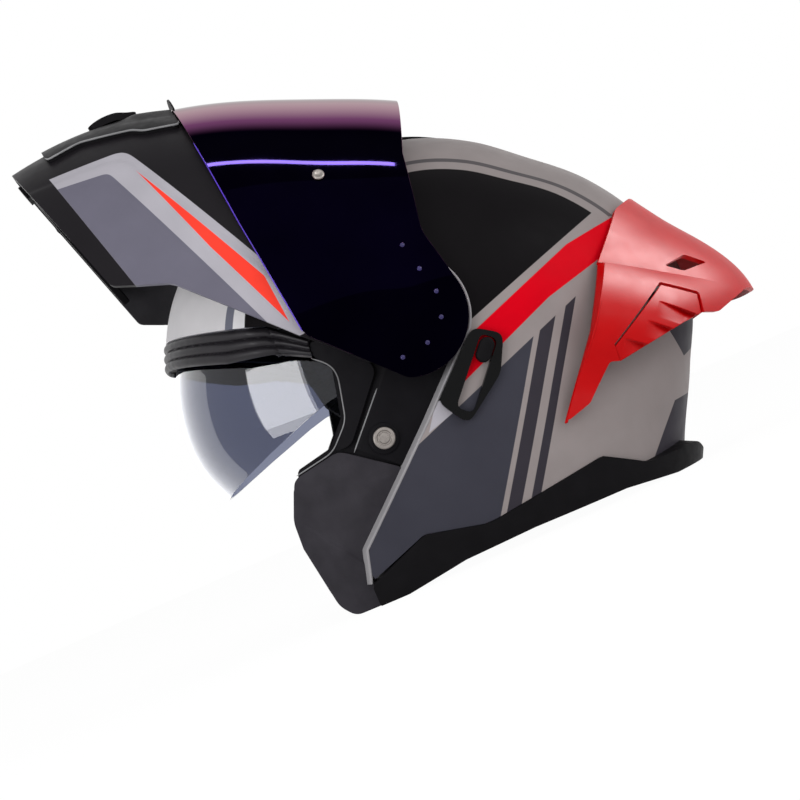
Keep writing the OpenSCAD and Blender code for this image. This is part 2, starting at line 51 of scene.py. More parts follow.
# Camera: low on the helmet's left, leaning to one side, with a long lens
CAMERA_AT = (-0.122, -1.2, 0.0584)
CAMERA_LEAN = math.radians(23.4)
CAMERA_LENS = 90.0
PICTURE = 800
FOCAL = CAMERA_LENS / 36.0 * PICTURE
SIDE_ON_PIXEL = (290, 530)


def photo_camera():
    """Camera turned, with no shift, until the straight side-on direction falls on SIDE_ON_PIXEL."""
    across = Vector((math.cos(CAMERA_LEAN), 0, -math.sin(CAMERA_LEAN)))
    upward = Vector((math.sin(CAMERA_LEAN), 0, math.cos(CAMERA_LEAN)))
    aside = PICTURE / 2 - SIDE_ON_PIXEL[0]
    above = SIDE_ON_PIXEL[1] - PICTURE / 2
    forward = (Vector((0, FOCAL, 0)) + across * aside + upward * above).normalized()
    right = (across - forward * across.dot(forward)).normalized()
    turn = Matrix((right, right.cross(forward), -forward)).transposed().to_4x4()
    data = bpy.data.cameras.new("photo_camera")
    data.lens = CAMERA_LENS
    data.sensor_width = 36.0
    data.clip_start = 0.01
    camera = bpy.data.objects.new("photo_camera", data)
    camera.matrix_world = Matrix.Translation(CAMERA_AT) @ turn
    scene.collection.objects.link(camera)
    scene.camera = camera


photo_camera()

# Hinge axes in the side view, and the angle by which the chin bar stands open
JOINTS = {j["name"]: j for j in frame["joints"]}
HINGE = np.array(JOINTS["chin_bar_hinge"]["pos_m"])[[0, 2]] / MM
LENS_HINGE = np.array(JOINTS["sun_visor_hinge"]["pos_m"])[[0, 2]] / MM
RAISED = math.radians(JOINTS["chin_bar_hinge"]["range_deg"][1])

# Side-view radii round those axes, 15 degrees apart, from the back over the crown to the front
SHELL_R = [166, 149, 132.5, 124.5, 118.5, 113.5, 112, 116, 123.5, 129.5, 135, 138,
           138.5, 147.5, 168, 196, 240, 262, 262, 244, 215, 186, 178, 179]
TRIM_R = SHELL_R[:20] + [217, 197, 186, 179]
CHIN_R = [200, 190, 180, 170, 160, 150, 146, 144, 144, 145, 146, 148,
          152, 172, 213, 255, 300, 330, 330, 300, 270, 250, 230, 210]
VISOR_R = [205, 195, 185, 175, 165, 155, 146, 142, 140, 139, 139, 142.3,
           152.5, 178.5, 212, 252, 295, 325, 330, 310, 280, 260, 240, 220]
TAIL_R = [175, 153, 138, 130, 125, 120, 118, 122, 130, 138, 145, 148,
          148, 154, 174, 202, 246, 270, 275, 262, 262, 233, 228, 216]
LENS_R = [120, 120, 120, 120, 120, 120, 120, 122, 126, 129, 130, 129.5,
          127, 119.5, 112, 112, 112, 112, 112, 112, 112, 112, 115, 118]
SHAPE_P, TAIL_P, SHAPE_Q = 2.1, 1.95, 2.3
SIDE_HALF, CHIN_HALF, VISOR_HALF, TAIL_HALF, LENS_HALF = 118.0, 119.0, 123.9, 121.5, 96.0
RECESS, CHAMFER, SHELL_WALL = 10.0, 2.6, 4.0
# Depths of the side covers under the shell's skin
RIM_SINK, JAW_SINK, COVER_SINK = 6.0, 7.4, 8.0


class Body:
    """Body closed like a superellipse round a hinge axis."""

    def __init__(self, centre, radii, half, power=SHAPE_P):
        self.centre, self.radii, self.half, self.power = centre, np.array(radii, float), half, power

    def radius(self, angle):
        """Side-view radius: a smooth closed curve (cubic, slopes from the neighbours) through the list."""
        step = np.degrees(angle) * len(self.radii) / 360.0
        base = np.floor(step).astype(int)
        t = step - base
        a, b, c, d = (self.radii[(base + n) % len(self.radii)] for n in (-1, 0, 1, 2))
        return b + 0.5 * t * (c - a + t * (2 * a - 5 * b + 4 * c - d + t * (3 * b - a - 3 * c + d)))

    def at(self, angle, tilt, off=0.0):
        """Radius (R + off) cos(tilt)^(2/p) round the axis, half width (half + off) sin(tilt)^(2/q)."""
        r = (self.radius(angle) + off) * np.maximum(np.cos(tilt), 0) ** (2 / self.power)
        y = (self.half + off) * np.sign(tilt) * np.abs(np.sin(tilt)) ** (2 / SHAPE_Q)
        return np.stack([self.centre[0] + r * np.cos(angle), y, self.centre[1] + r * np.sin(angle)], -1)

    def side(self, x, z, off=0.0):
        """Half width at a side-view point: (half + off) (1 - (r / (R + off))^p)^(1/q)."""
        dx, dz = x - self.centre[0], z - self.centre[1]
        share = np.hypot(dx, dz) / (self.radius(np.arctan2(dz, dx)) + off)
        return (self.half + off) * np.maximum(1 - share ** self.power, 0) ** (1 / SHAPE_Q)

    def left(self, x, z, off=0.0):
        """Point of the left side over a side-view point."""
        return np.stack([x, -self.side(x, z, off), z], -1)


def smoothed(radii, spread):
    """The closed curve through a list of radii, every degree, averaged over a bell of `spread` degrees."""
    fine = Body((0, 0), radii, 1.0).radius(np.radians(np.arange(360)))
    away = (np.arange(360) + 180) % 360 - 180
    bell = np.exp(-0.5 * (away / spread) ** 2)
    return np.fft.ifft(np.fft.fft(fine) * np.fft.fft(bell / bell.sum())).real


SHELL = Body(HINGE, SHELL_R, SIDE_HALF)
TRIM = Body(HINGE, TRIM_R, SIDE_HALF)
CHIN = Body(HINGE, CHIN_R, CHIN_HALF)
VISOR = Body(HINGE, smoothed(VISOR_R, 9.0), VISOR_HALF)
TAIL = Body(HINGE, TAIL_R, TAIL_HALF, TAIL_P)
LENS = Body(LENS_HINGE, LENS_R, LENS_HALF)


def arc(radius, start, stop, count=28):
    """Points of an arc round the hinge in the side view, angles in degrees."""
    a = np.radians(np.linspace(start, stop, count))
    return np.stack([HINGE[0] + radius * np.cos(a), HINGE[1] + radius * np.sin(a)], -1).tolist()


# Side-view outlines, as in the part
FACE_CUT = [[-260, 194], [-150, 190], [-90, 167], [-72, 150], [-66, 130], [-72, 104], [-84, 91],
            [-105, 87], [-114, 62], [-115, 44], [-109, 12], [-109, -200], [-260, -200]]
BASE_CUT = [[-120, 13], [-93, 14], [-56, 27], [-23, 19], [-16, 19], [53, 27], [79, 13], [140, 12],
            [140, -300], [-260, -300], [-260, 13]]
TRIM_OUTLINE = [[-92.8, 12.5], [-56, 26.6], [-23, 18.6], [-16, 18.6], [53, 26.6], [79, 12.6],
                [116, 11.6], [127, 0], [95, 0], [60, 4.5], [2, 6], [-40, 5], [-76, 0], [-92.8, 0]]
GASKET_TOP = [[-260, 193.4], [-150, 189.6], [-90.6, 166.4], [-72.4, 149.6]]
GASKET_LOW = [[-73.4, 140.4], [-91.4, 150.5], [-117, 157], [-150, 172], [-260, 176]]
EYEPORT = [[-73, 140.2], [-72, 149.4], [-50, 142], [-44.5, 120], [-73, 87.5],
           [-83.5, 88], [-70, 101], [-64, 126], [-66, 133]]
JAW = [[-80, 86.8], [-51, 64.6], [-88.5, 31], [-93, 13], [-84, 12], [-84, 0], [-107, 0], [-113.5, 8],
       [-119, 44], [-118, 62], [-109, 83], [-84, 87]]
RECESS_EDGE = ([[-92, 13], [-87, 31], [-30, 81.5], [5, 114]] + arc(36, -35, 100)
               + [[-42, 190], [-70, 179], [-80, 163]])
RECESS_OUTLINE = [[-300, -150], [-92, -150]] + RECESS_EDGE + [[-300, 150]]
COVER = ([[-72, 85.5], [-50, 64.8], [-32, 81.8], [2, 113.5]] + arc(34.4, -38, 100)
         + [[-42, 183], [-62, 171], [-68, 149], [-49, 142.5], [-43.5, 119.5]])
CHIN_OUTLINE = ([[-103, 2], [-97.5, 14], [-89.8, 32.5], [-33.5, 82.8], [0, 115.6]] + arc(30, -38, 165)
                + [[-52, 112], [-62, 98], [-80, 92], [-104, 89], [-187, 84], [-240, 83], [-240, -36.7]])
VENT_COVER = [[-260, -12], [-192, -2], [-194, 19], [-186, 50], [-182, 55], [-177, 76.1], [-260, 72.6]]
CHIN_FOAM = [[-124, 12], [-124, 78], [-260, 74], [-260, -22]]
BREATH_GUARD = [[-150, 42], [-150, 92], [-260, 96], [-260, 40]]
RIM_INNER, RIM_OUTER = (-121.0, -2.6), (-240.0, -36.3)
VISOR_OUTLINE = ([[-240, 74], [-197, 76], [-104, 80], [-32, 85.5]] + arc(34, -24, 100)
                 + [[-57, 168], [-103, 180], [-151, 203], [-240, 246]])
LENS_OUTLINE = [[-230, 187], [-147, 182], [-112, 168.5], [-76, 150], [-45, 131], [-26, 125], [-20, 115],
                [-26, 105], [-40, 107], [-69, 116.5], [-85, 112.3], [-100, 107.3], [-115, 102.3],
                [-132, 96], [-148, 89.5], [-230, 60]]
LINING_CUT = [[-260, 189], [-150, 187], [-92, 168], [-76, 158], [-69, 120], [-50, 92], [-22, 67], [140, 47],
              [140, -300], [-260, -300]]
TAIL_OUTLINE = [[39, 52], [57, 56.5], [76, 73], [82, 71], [126, 77], [141, 78], [151, 75], [179, 82],
                [230, 70], [230, 157.5], [137.5, 157.5], [122.5, 153], [94, 126.5], [73, 93]]
OUTLET = [[131, 111], [147, 113], [159, 104], [141, 104]]
BEZEL = [[10, 118], [14, 119], [25, 112], [26, 108], [17, 91], [-8, 74], [-12, 75], [-20, 88], [-19, 92]]
SLOT_LOW, SLOT_HIGH = np.array([-4.0, 86.0]), np.array([14.0, 106.0])
STRIKER = (-55, 84)
SHIELD_PIN = (-110, 131)
# Outer edges of the pale band on the chin bar
BAND_FRONT = (-175.9, 30.5), (-179.0, -4.9)
BAND_TOP = (-90.5, 78.1), (-166.5, 44.4)


CORNER_POINTS = 6
SLIGHT_TURN = math.radians(15)


# Fields over points: positive on the side that is kept
def inside_by(outline, x, z):
    """Distance in from the edge of a side-view outline: positive inside it, negative outside."""
    corners = np.asarray(outline, float)
    near = np.full(np.shape(x), np.inf)
    odd = np.zeros(np.shape(x), bool)
    for (x0, z0), (x1, z1) in zip(corners, np.roll(corners, -1, axis=0)):
        dx, dz = x1 - x0, z1 - z0
        t = np.clip(((x - x0) * dx + (z - z0) * dz) / (dx * dx + dz * dz), 0, 1)
        near = np.minimum(near, (x - x0 - t * dx) ** 2 + (z - z0 - t * dz) ** 2)
        if dz:
            odd ^= ((z0 > z) != (z1 > z)) & (x < x0 + (z - z0) * dx / dz)
    return np.where(odd, 1.0, -1.0) * np.sqrt(near)


def within(outline, reach=0, sharp=(), axes=(0, 2)):
    """Distance inside a side-view outline, or one in two other axes, its corners rounded over `reach`."""
    edge = soft_corners(outline, reach, sharp) if reach else outline
    return lambda p: inside_by(edge, p[..., axes[0]], p[..., axes[1]])


def clear_of(outline, reach=0):
    """Distance outside such an outline."""
    inner = within(outline, reach)
    return lambda p: -inner(p)


def all_of(*fields):
    return lambda p: np.minimum.reduce([f(p) for f in fields])


def ring_hole(at, radius):
    """Distance outside a round hole in the side view."""
    return lambda p: np.hypot(p[..., 0] - at[0], p[..., 2] - at[1]) - radius


def soft_corners(points, reach, sharp=()):
    """Outline whose corners are parabolas that start and end at most `reach` from the corner. Corners that
    turn by less than 15 degrees, and those numbered in `sharp`, stay as they are."""
    p = np.asarray(points, float)
    before, after = np.roll(p, 1, 0) - p, np.roll(p, -1, 0) - p
    far_before = np.linalg.norm(before, axis=1, keepdims=True)
    far_after = np.linalg.norm(after, axis=1, keepdims=True)
    single = -(before * after).sum(1) > math.cos(SLIGHT_TURN) * (far_before * far_after)[:, 0]
    single[list(sharp)] = True
    start = p + before * np.minimum(reach / far_before, 0.48)
    stop = p + after * np.minimum(reach / far_after, 0.48)
    t = np.linspace(0, 1, CORNER_POINTS)[None, :, None]
    bent = (1 - t) ** 2 * start[:, None] + 2 * t * (1 - t) * p[:, None] + t * t * stop[:, None]
    bent[single, 0] = p[single]
    kept = np.ones(bent.shape[:2], bool)
    kept[single, 1:] = False
    return bent[kept]


def eased(t):
    t = np.clip(t, 0, 1)
    return t * t * (3 - 2 * t)


def line_field(a, b):
    """Signed distance to the left of the side-view line from a to b."""
    a, b = np.array(a, float), np.array(b, float)
    way = (b - a) / np.linalg.norm(b - a)
    return lambda p: way[0] * (p[..., 2] - a[1]) - way[1] * (p[..., 0] - a[0])


def raised(points):
    """Points of the shut chin bar, turned up with it about the hinge."""
    dx, dz = points[..., 0] - HINGE[0], points[..., 2] - HINGE[1]
    c, s = math.cos(RAISED), math.sin(RAISED)
    return np.stack([HINGE[0] + dx * c + dz * s, points[..., 1], HINGE[1] - dx * s + dz * c], -1)


def raised_side(outline):
    """A side-view outline of the shut chin bar, turned up with it."""
    flat = np.asarray(outline, float)
    lifted = raised(np.stack([flat[:, 0], 0 * flat[:, 0], flat[:, 1]], -1))
    return lifted[:, [0, 2]]


# Surfaces: points and a list of face arrays
def grid_faces(rows, columns, close_columns=False):
    """Quads of a grid of points stored row by row."""
    wide = columns if close_columns else columns - 1
    j, i = (n.ravel() for n in np.meshgrid(np.arange(rows - 1), np.arange(wide), indexing="ij"))
    here, below, ni = j * columns, (j + 1) * columns, (i + 1) % columns
    return [np.stack([here + i, here + ni, below + ni, below + i], -1)]


def cut_skin(place, keep, us, vs, turn=False):
    """Surface place(u, v) on a grid, kept where keep(point) is positive.

    Grid corners close to the cut slide onto it along the field's slope. Cells that still cross it are cut
    by marching squares, with each crossing found by false position, so the rim follows the outline.
    """
    rows, columns = len(us), len(vs)
    steps_u, steps_v = np.arange(rows), np.arange(columns)

    def spot(i, j):
        return place(np.interp(i, steps_u, us), np.interp(j, steps_v, vs))

    def field(i, j):
        return keep(spot(i, j))

    i, j = np.meshgrid(steps_u.astype(float), steps_v.astype(float), indexing="ij")
    s = field(i, j)
    reach = max(np.abs(np.diff(s, axis=0)).max(), np.abs(np.diff(s, axis=1)).max())
    close = np.abs(s) < 0.6 * reach
    close[[0, -1]] = False
    close[:, [0, -1]] = False
    a, b, level = i[close], j[close], s[close]
    small = 0.2
    for _ in range(3):
        slope_u = (field(a + small, b) - field(a - small, b)) / (2 * small)
        slope_v = (field(a, b + small) - field(a, b - small)) / (2 * small)
        steep = slope_u ** 2 + slope_v ** 2 + 1e-9
        near = np.abs(level) < 0.42 * np.sqrt(steep)
        a = np.where(near, a - level * slope_u / steep, a)
        b = np.where(near, b - level * slope_v / steep, b)
        level = field(a, b)
    i[close], j[close] = a, b
    s[close] = np.where(near & (np.abs(level) < 0.05), 0.0, level)
    kept = s >= 0
    points = [spot(i, j).reshape(-1, 3)]
    count = rows * columns
    number = np.arange(count).reshape(rows, columns)

    def crossings(first, second):
        """Numbers of the new points on the grid edges between two slices that the cut crosses."""
        nonlocal count
        cross = kept[first] != kept[second]
        i0, j0, s0 = i[first][cross], j[first][cross], s[first][cross]
        i1, j1, s1 = i[second][cross], j[second][cross], s[second][cross]
        t0, t1 = np.zeros_like(s0), np.ones_like(s0)
        for _ in range(4):
            t = t0 + (t1 - t0) * np.abs(s0) / (np.abs(s0) + np.abs(s1) + 1e-12)
            middle = field(i0 + (i1 - i0) * t, j0 + (j1 - j0) * t)
            same = (middle >= 0) == (s0 >= 0)
            t0, s0 = np.where(same, t, t0), np.where(same, middle, s0)
            t1, s1 = np.where(same, t1, t), np.where(same, s1, middle)
        points.append(spot(i0 + (i1 - i0) * t, j0 + (j1 - j0) * t).reshape(-1, 3))
        numbers = np.full(cross.shape, -1)
        numbers[cross] = count + np.arange(len(t))
        count += len(t)
        return numbers

    along_u = crossings(np.s_[:-1, :], np.s_[1:, :])
    along_v = crossings(np.s_[:, :-1], np.s_[:, 1:])
    corner = [number[:-1, :-1], number[:-1, 1:], number[1:, 1:], number[1:, :-1]]
    edge = [along_v[:-1], along_u[:, 1:], along_v[1:], along_u[:, :-1]]
    flags = [kept[:-1, :-1], kept[:-1, 1:], kept[1:, 1:], kept[1:, :-1]]
    code = sum(f.astype(int) << n for n, f in enumerate(flags))
    groups = []
    for pattern in range(1, 16):
        cells = code == pattern
        if not cells.any():
            continue
        walk = []
        for n in range(4):
            here, after = pattern >> n & 1, pattern >> (n + 1) % 4 & 1
            if here:
                walk.append(corner[n][cells])
            if here != after:
                walk.append(edge[n][cells])
        face = np.stack(walk, -1)
        groups.append(face[:, ::-1] if turn else face)
    return np.concatenate(points), groups


def skin(body, keep, angles, tilts, off=0.0, turn=False):
    """Skin of a body over lists of angles and tilts in degrees, cut by a field. off lifts it off the body,
    as a number or as a field over the points."""
    def place(angle, tilt):
        lift = off(body.at(angle, tilt)) if callable(off) else off
        return body.at(angle, tilt, lift)
    return cut_skin(place, keep, np.radians(angles), np.radians(tilts), turn)


def side_skin(body, keep, xs, zs, off=0.0):
    """Skin of a body's left side over a side-view rectangle, y = -side(x, z), cut by a field."""
    def place(x, z):
        lift = off(body.left(x, z)) if callable(off) else off
        return body.left(x, z, lift)
    return cut_skin(place, keep, np.linspace(*xs), np.linspace(*zs), turn=True)


def flipped(groups):
    return [g[:, ::-1] for g in groups]


def mirrored(points, groups):
    return points * [1, -1, 1], flipped(groups)


def joined(*surfaces):
    """Several surfaces as one: their points in a row, their faces renumbered."""
    points, groups, start = [], [], 0
    for p, g in surfaces:
        points.append(p)
        groups += [f + start for f in g]
        start += len(p)
    return np.concatenate(points), groups


def both(surface):
    """A surface and its mirror image."""
    return joined(surface, mirrored(*surface))


def resampled(path, count):
    """A flat path at even steps: the distance along it, and its two coordinates."""
    p = np.asarray(path, float)
    run = np.concatenate([[0], np.cumsum(np.linalg.norm(np.diff(p, axis=0), axis=1))])
    s = np.linspace(0, run[-1], count)
    return s, np.interp(s, run, p[:, 0]), np.interp(s, run, p[:, 1])


def averaged(rows, reach, **ends):
    """Running mean over `reach` rows each side; ends tells np.pad how the list goes on."""
    share = np.full(2 * reach + 1, 1 / (2 * reach + 1))
    return np.stack([np.convolve(np.pad(c, reach, **ends), share, "valid") for c in rows.T], -1)


def unit(rows):
    return rows / np.linalg.norm(rows, axis=1, keepdims=True)


def lathed(profile, count, reach=0.0):
    """Profile of (radius, height) pairs turned round the Z axis; its two halves stand `reach` apart along X
    from the middle, which makes a bar with round ends."""
    p = np.asarray(profile, float)
    a = np.linspace(0, 2 * np.pi, count, endpoint=False)
    r, h = p[:, :1], p[:, 1:]
    end = np.where(np.cos(a) >= 0, reach, -reach)
    points = np.stack([end + r * np.cos(a), r * np.sin(a), h + 0 * a], -1)
    return points.reshape(-1, 3), grid_faces(len(p), count, close_columns=True)


def seated(surface, at, normal, along=(1, 0, 0)):
    """A surface drawn round the origin, put at a point with its Z along `normal`."""
    z = np.array(normal, float) / np.linalg.norm(normal)
    x = np.array(along, float) - z * np.dot(along, z)
    x /= np.linalg.norm(x)
    points, groups = surface
    return points @ np.stack([x, np.cross(z, x), z]) + np.asarray(at, float), groups


def on_side(surface, body, x, z):
    """A surface seated on a body's left side, along the normal that the slopes of its half width give."""
    d = 0.5
    slope_x = (body.side(x + d, z) - body.side(x - d, z)) / (2 * d)
    slope_z = (body.side(x, z + d) - body.side(x, z - d)) / (2 * d)
    return seated(surface, body.left(x, z), (-slope_x, -1.0, -slope_z))


CHIN_BODIES = ("chin_bar", "chin_vent", "face_shield")
WELD = 2e-6
SHARP = math.radians(40)


def add_piece(name, surface, body, slot, finish, *nodes):
    """Object from a surface: doubles merged, riding on a body and standing for the named nodes. What the
    chin bar carries is drawn shut, and raised here."""
    points, groups = surface
    if body in CHIN_BODIES:
        points = raised(points)
    flat = np.concatenate([g.ravel() for g in groups])
    used, flat = np.unique(flat, return_inverse=True)
    faces, start = [], 0
    for g in groups:
        faces += flat[start:start + g.size].reshape(g.shape).tolist()
        start += g.size
    mesh = bpy.data.meshes.new(name)
    mesh.from_pydata((points[used] * MM).tolist(), [], faces)
    work = bmesh.new()
    work.from_mesh(mesh)
    bmesh.ops.remove_doubles(work, verts=work.verts, dist=WELD)
    bmesh.ops.dissolve_degenerate(work, edges=work.edges, dist=WELD)
    work.to_mesh(mesh)
    work.free()
    mesh.polygons.foreach_set("use_smooth", np.ones(len(mesh.polygons), bool))
    mesh.materials.append(finish)
    piece = bpy.data.objects.new(name, mesh)
    scene.collection.objects.link(piece)
    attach(piece, body)
    if nodes:
        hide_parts(*nodes)
    return piece


def thicken(piece, wall, edge=0.5, inner=None):
    """Wall inwards from the skin, with a small round on its edges; inner is the finish of its inside."""
    solid = piece.modifiers.new("wall", "SOLIDIFY")
    solid.thickness = wall * MM
    solid.offset = -1.0
    solid.use_even_offset = False
    if inner:
        piece.data.materials.append(inner)
        solid.material_offset = 1
    if edge:
        soften(piece, edge)
    return piece


def soften(piece, edge):
    """Small round on the edges that turn by more than SHARP."""
    bevel = piece.modifiers.new("edge", "BEVEL")
    bevel.width = edge * MM
    bevel.segments = 2
    bevel.limit_method = "ANGLE"
    bevel.angle_limit = SHARP
    bevel.harden_normals = True
    return piece


# Finishes
def srgb(r, g, b):
    """A colour given as 0 to 255, in the linear values that shaders take."""
    c = np.array([r, g, b]) / 255.0
    line = np.where(c <= 0.04045, c / 12.92, ((c + 0.055) / 1.055) ** 2.4)
    return (*line.tolist(), 1.0)


def dimmed(colour, share):
    return (*[c * share for c in colour[:3]], 1)


def add_node(tree, kind, inputs=(), **settings):
    """Node with its settings; an input is a value, or the socket that feeds it."""
    node = tree.nodes.new(kind)
    for key, value in settings.items():
        setattr(node, key, value)
    for key, value in dict(inputs).items():
        if isinstance(value, bpy.types.NodeSocket):
            tree.links.new(value, node.inputs[key])
        else:
            node.inputs[key].default_value = value
    return node


class Finish:
    """A material's nodes round one Principled shader. Lengths in its fields are millimetres."""

    def __init__(self, name, **sockets):
        self.material = bpy.data.materials.new(name)
        self.material.use_nodes = True
        self.tree = self.material.node_tree
        self.shader = self.tree.nodes["Principled BSDF"]
        for key, value in sockets.items():
            self.shader.inputs[key.replace("_", " ")].default_value = value
        where = self.add("ShaderNodeTexCoord").outputs["Object"]
        scaled = self.add("ShaderNodeVectorMath", {0: where, 3: 1 / MM}, operation="SCALE")
        self.where = scaled.outputs[0]

    def add(self, kind, inputs=(), **settings):
        return add_node(self.tree, kind, inputs, **settings)

    def feed(self, socket, value):
        self.tree.links.new(value, self.shader.inputs[socket])

    def maths(self, operation, a, b=0.0, c=0.0):
        return self.add("ShaderNodeMath", {0: a, 1: b, 2: c}, operation=operation).outputs[0]

    def minus(self, a, b):
        return self.maths("SUBTRACT", a, b)

    def axis(self, name):
        return self.add("ShaderNodeSeparateXYZ", {0: self.where}).outputs[name]

    def dot(self, direction):
        inputs = {0: self.where, 1: direction}
        return self.add("ShaderNodeVectorMath", inputs, operation="DOT_PRODUCT").outputs["Value"]

    def noise(self, size, detail=3.0, rough=0.5):
        """Cloudy value from 0 to 1, with patches of about `size` millimetres."""
        inputs = {"Vector": self.where, "Scale": 1 / size, "Detail": detail, "Roughness": rough}
        return self.add("ShaderNodeTexNoise", inputs).outputs["Fac"]

    def spread(self, value, low, high, to_low=0.0, to_high=1.0, smooth=False):
        inputs = {0: value, 1: low, 2: high, 3: to_low, 4: to_high}
        kind = "SMOOTHSTEP" if smooth else "LINEAR"
        return self.add("ShaderNodeMapRange", inputs, interpolation_type=kind).outputs[0]

    def mix(self, share, a, b):
        """Colour a where share is 0, b where it is 1."""
        node = self.add("ShaderNodeMix", {0: share, 6: a, 7: b}, data_type="RGBA")
        return node.outputs[2]

    def chained(self, operation, fields):
        value = fields[0]
        for f in fields[1:]:
            value = self.maths(operation, value, f)
        return value

    def least(self, *fields):
        return self.chained("MINIMUM", fields)

    def most(self, *fields):
        return self.chained("MAXIMUM", fields)

    def rounded(self, a, b, reach):
        """The smaller of two fields, with the corner between them rounded."""
        return self.maths("SMOOTH_MIN", a, b, reach)

    def left_of(self, a, b):
        """Distance to the left of the side-view line from a to b."""
        a, b = np.array(a, float), np.array(b, float)
        way = (b - a) / np.linalg.norm(b - a)
        return self.minus(self.dot((-way[1], 0.0, way[0])), float(way[0] * a[1] - way[1] * a[0]))

    def patch(self, corners):
        """Distance in from the edge of a convex side-view patch, corners turning from X to Z."""
        p = [tuple(c) for c in np.asarray(corners, float)]
        return self.least(*[self.left_of(a, b) for a, b in zip(p, p[1:] + p[:1])])

    def stencil(self, field, blur=0.12):
        """1 where a field is positive, 0 where it is negative, with a sharp painted edge."""
        return self.spread(field, -blur, blur)

    def over(self, colour, field, paint):
        """Paint laid over a colour where a field is positive."""
        return self.mix(self.stencil(field), colour, paint)

    def toned(self, noise, low, high):
        """The usual range of a noise, 0.3 to 0.7, spread from low to high."""
        return self.spread(noise, 0.3, 0.7, low, high)

    def coated(self, colour, gloss, rough, height, strength, depth):
        """The material, with its colour, a noise spread over a range of roughness, and a bump."""
        self.feed("Base Color", colour)
        self.feed("Roughness", self.toned(gloss, *rough))
        inputs = {"Height": height, "Strength": strength, "Distance": depth * MM}
        self.feed("Normal", self.add("ShaderNodeBump", inputs).outputs[0])
        return self.material

    def vary(self, colour, low, high, size):
        """A colour made lighter and darker in cloudy patches."""
        tone = self.toned(self.noise(size), low, high)
        flat = self.add("ShaderNodeCombineColor", {0: tone, 1: tone, 2: tone}).outputs[0]
        inputs = {0: 1.0, 6: colour, 7: flat}
        return self.add("ShaderNodeMix", inputs, data_type="RGBA", blend_type="MULTIPLY").outputs[2]


GREY, BLACK, RED = srgb(147, 139, 138), srgb(15, 13, 15), srgb(212, 1, 24)
LINE_DARK, STRIPE_DARK, PANEL = srgb(88, 84, 86), srgb(56, 53, 60), srgb(61, 61, 70)
PALE = srgb(174, 171, 179)


def paint_grain(finish, colour, rough=(0.36, 0.46)):
    """Satin clear coat: faint cloudy colour, uneven gloss and the fine ripple of sprayed paint."""
    cloudy = finish.vary(colour, 0.95, 1.05, 24)
    return finish.coated(cloudy, finish.noise(9, 4), rough, finish.noise(0.5, 2), 0.12, 0.06)


def shell_paint():
    """Grey shell with a black flank, a red band, a slate side panel and two slanting stripes."""
    f = Finish("shell_paint", Specular_IOR_Level=0.03)
    away = f.maths("ABSOLUTE", f.axis("Y"))
    x = f.axis("X")
    band = f.maths("MULTIPLY_ADD", x, 0.1, away)
    band = f.maths("MULTIPLY_ADD", f.maths("MINIMUM", x, 0.0), -0.04, band)
    line = f.least(f.minus(band, 80.5), f.minus(83.4, band), f.minus(f.axis("Z"), 150.0))
    colour = f.over(GREY, line, LINE_DARK)
    # The forehead is plain up to a slate stripe, a white stripe and a dark edge
    brow = srgb(214, 212, 215)
    for start, paint in ((86.5, srgb(112, 114, 128)), (90.0, srgb(226, 225, 228)), (95.0, STRIPE_DARK)):
        brow = f.over(brow, f.minus(away, start), paint)
    ahead = f.left_of((-104, 150), (-62, 262))
    colour = f.over(colour, f.maths("ADD", ahead, 3.0), LINE_DARK)
    colour = f.over(colour, ahead, brow)
    border = f.left_of((19.5, 126.2), (107.5, 155.6))
    black = f.least(border, f.minus(band, 88.6))
    colour = f.over(colour, black, BLACK)
    red_top = f.least(f.left_of((82.4, 143.0), (16.5, 119.2)), f.left_of((125, 150.3), (82.4, 143.0)))
    red_low = f.most(f.left_of((26.5, 106.2), (59.6, 119.2)), f.left_of((59.6, 119.2), (93.7, 127.9)))
    colour = f.over(colour, f.least(red_top, red_low), RED)
    # Stripes lie at fixed distances along one slanting direction, under one slanting top line
    slant = f.dot((0.83, 0.0, -0.56))
    under = f.left_of((43.2, 102.8), (19.5, 94.3))

    def stripe(low, high):
        return f.least(f.minus(slant, low), f.minus(high, slant), under)
    side = f.least(f.minus(-22.0, slant), under)
    colour = f.over(colour, side, PANEL)
    colour = f.over(colour, f.most(stripe(-19.0, -11.7), stripe(-6.9, -2.0)), STRIPE_DARK)
    colour = f.over(colour, f.patch([(-15.1, 81.6), (-20.3, 92.9), (-31.9, 76.7)]), PALE)
    heel = f.least(f.left_of((111.6, 38.3), (84.8, 14.3)), f.left_of((118, 38.6), (111.6, 38.3)))
    tail = f.least(f.left_of((123.7, 74.3), (128.7, 59.9)), f.left_of((128.7, 59.9), (147, 64.7)),
                   f.minus(100.0, f.axis("Z")))
    colour = f.over(colour, f.most(heel, tail), STRIPE_DARK)
    return paint_grain(f, colour)


def chin_paint():
    """Black chin bar with a pale band, a slate panel under it and a red wedge, drawn on the raised bar."""
    f = Finish("chin_paint", Specular_IOR_Level=0.06)

    def line(a, b):
        return f.left_of(*raised_side([a, b]))
    rim = f.least(line((-179, -4.9), (-96.1, 14.6)), line((-33, 0), (-33, 100)))
    pale = f.rounded(line(*BAND_FRONT), line(*BAND_TOP), 9.0)
    slate = f.rounded(line((-166.2, 20.7), (-169.6, -0.7)), line((-45, 71.1), (-147, 33.8)), 5.0)
    wedge = f.patch(raised_side([(-158.5, 41.8), (-98.8, 60.2), (-42.3, 81.2), (-71.1, 79.8)]))
    colour = f.over(srgb(28, 26, 29), f.least(rim, pale), PALE)
    colour = f.over(colour, f.least(rim, slate), srgb(106, 104, 118))
    colour = f.over(colour, wedge, srgb(250, 66, 50))
    return paint_grain(f, colour)


def plain_paint(name, colour, rough=(0.36, 0.46), **sockets):
    return paint_grain(Finish(name, **sockets), colour, rough)


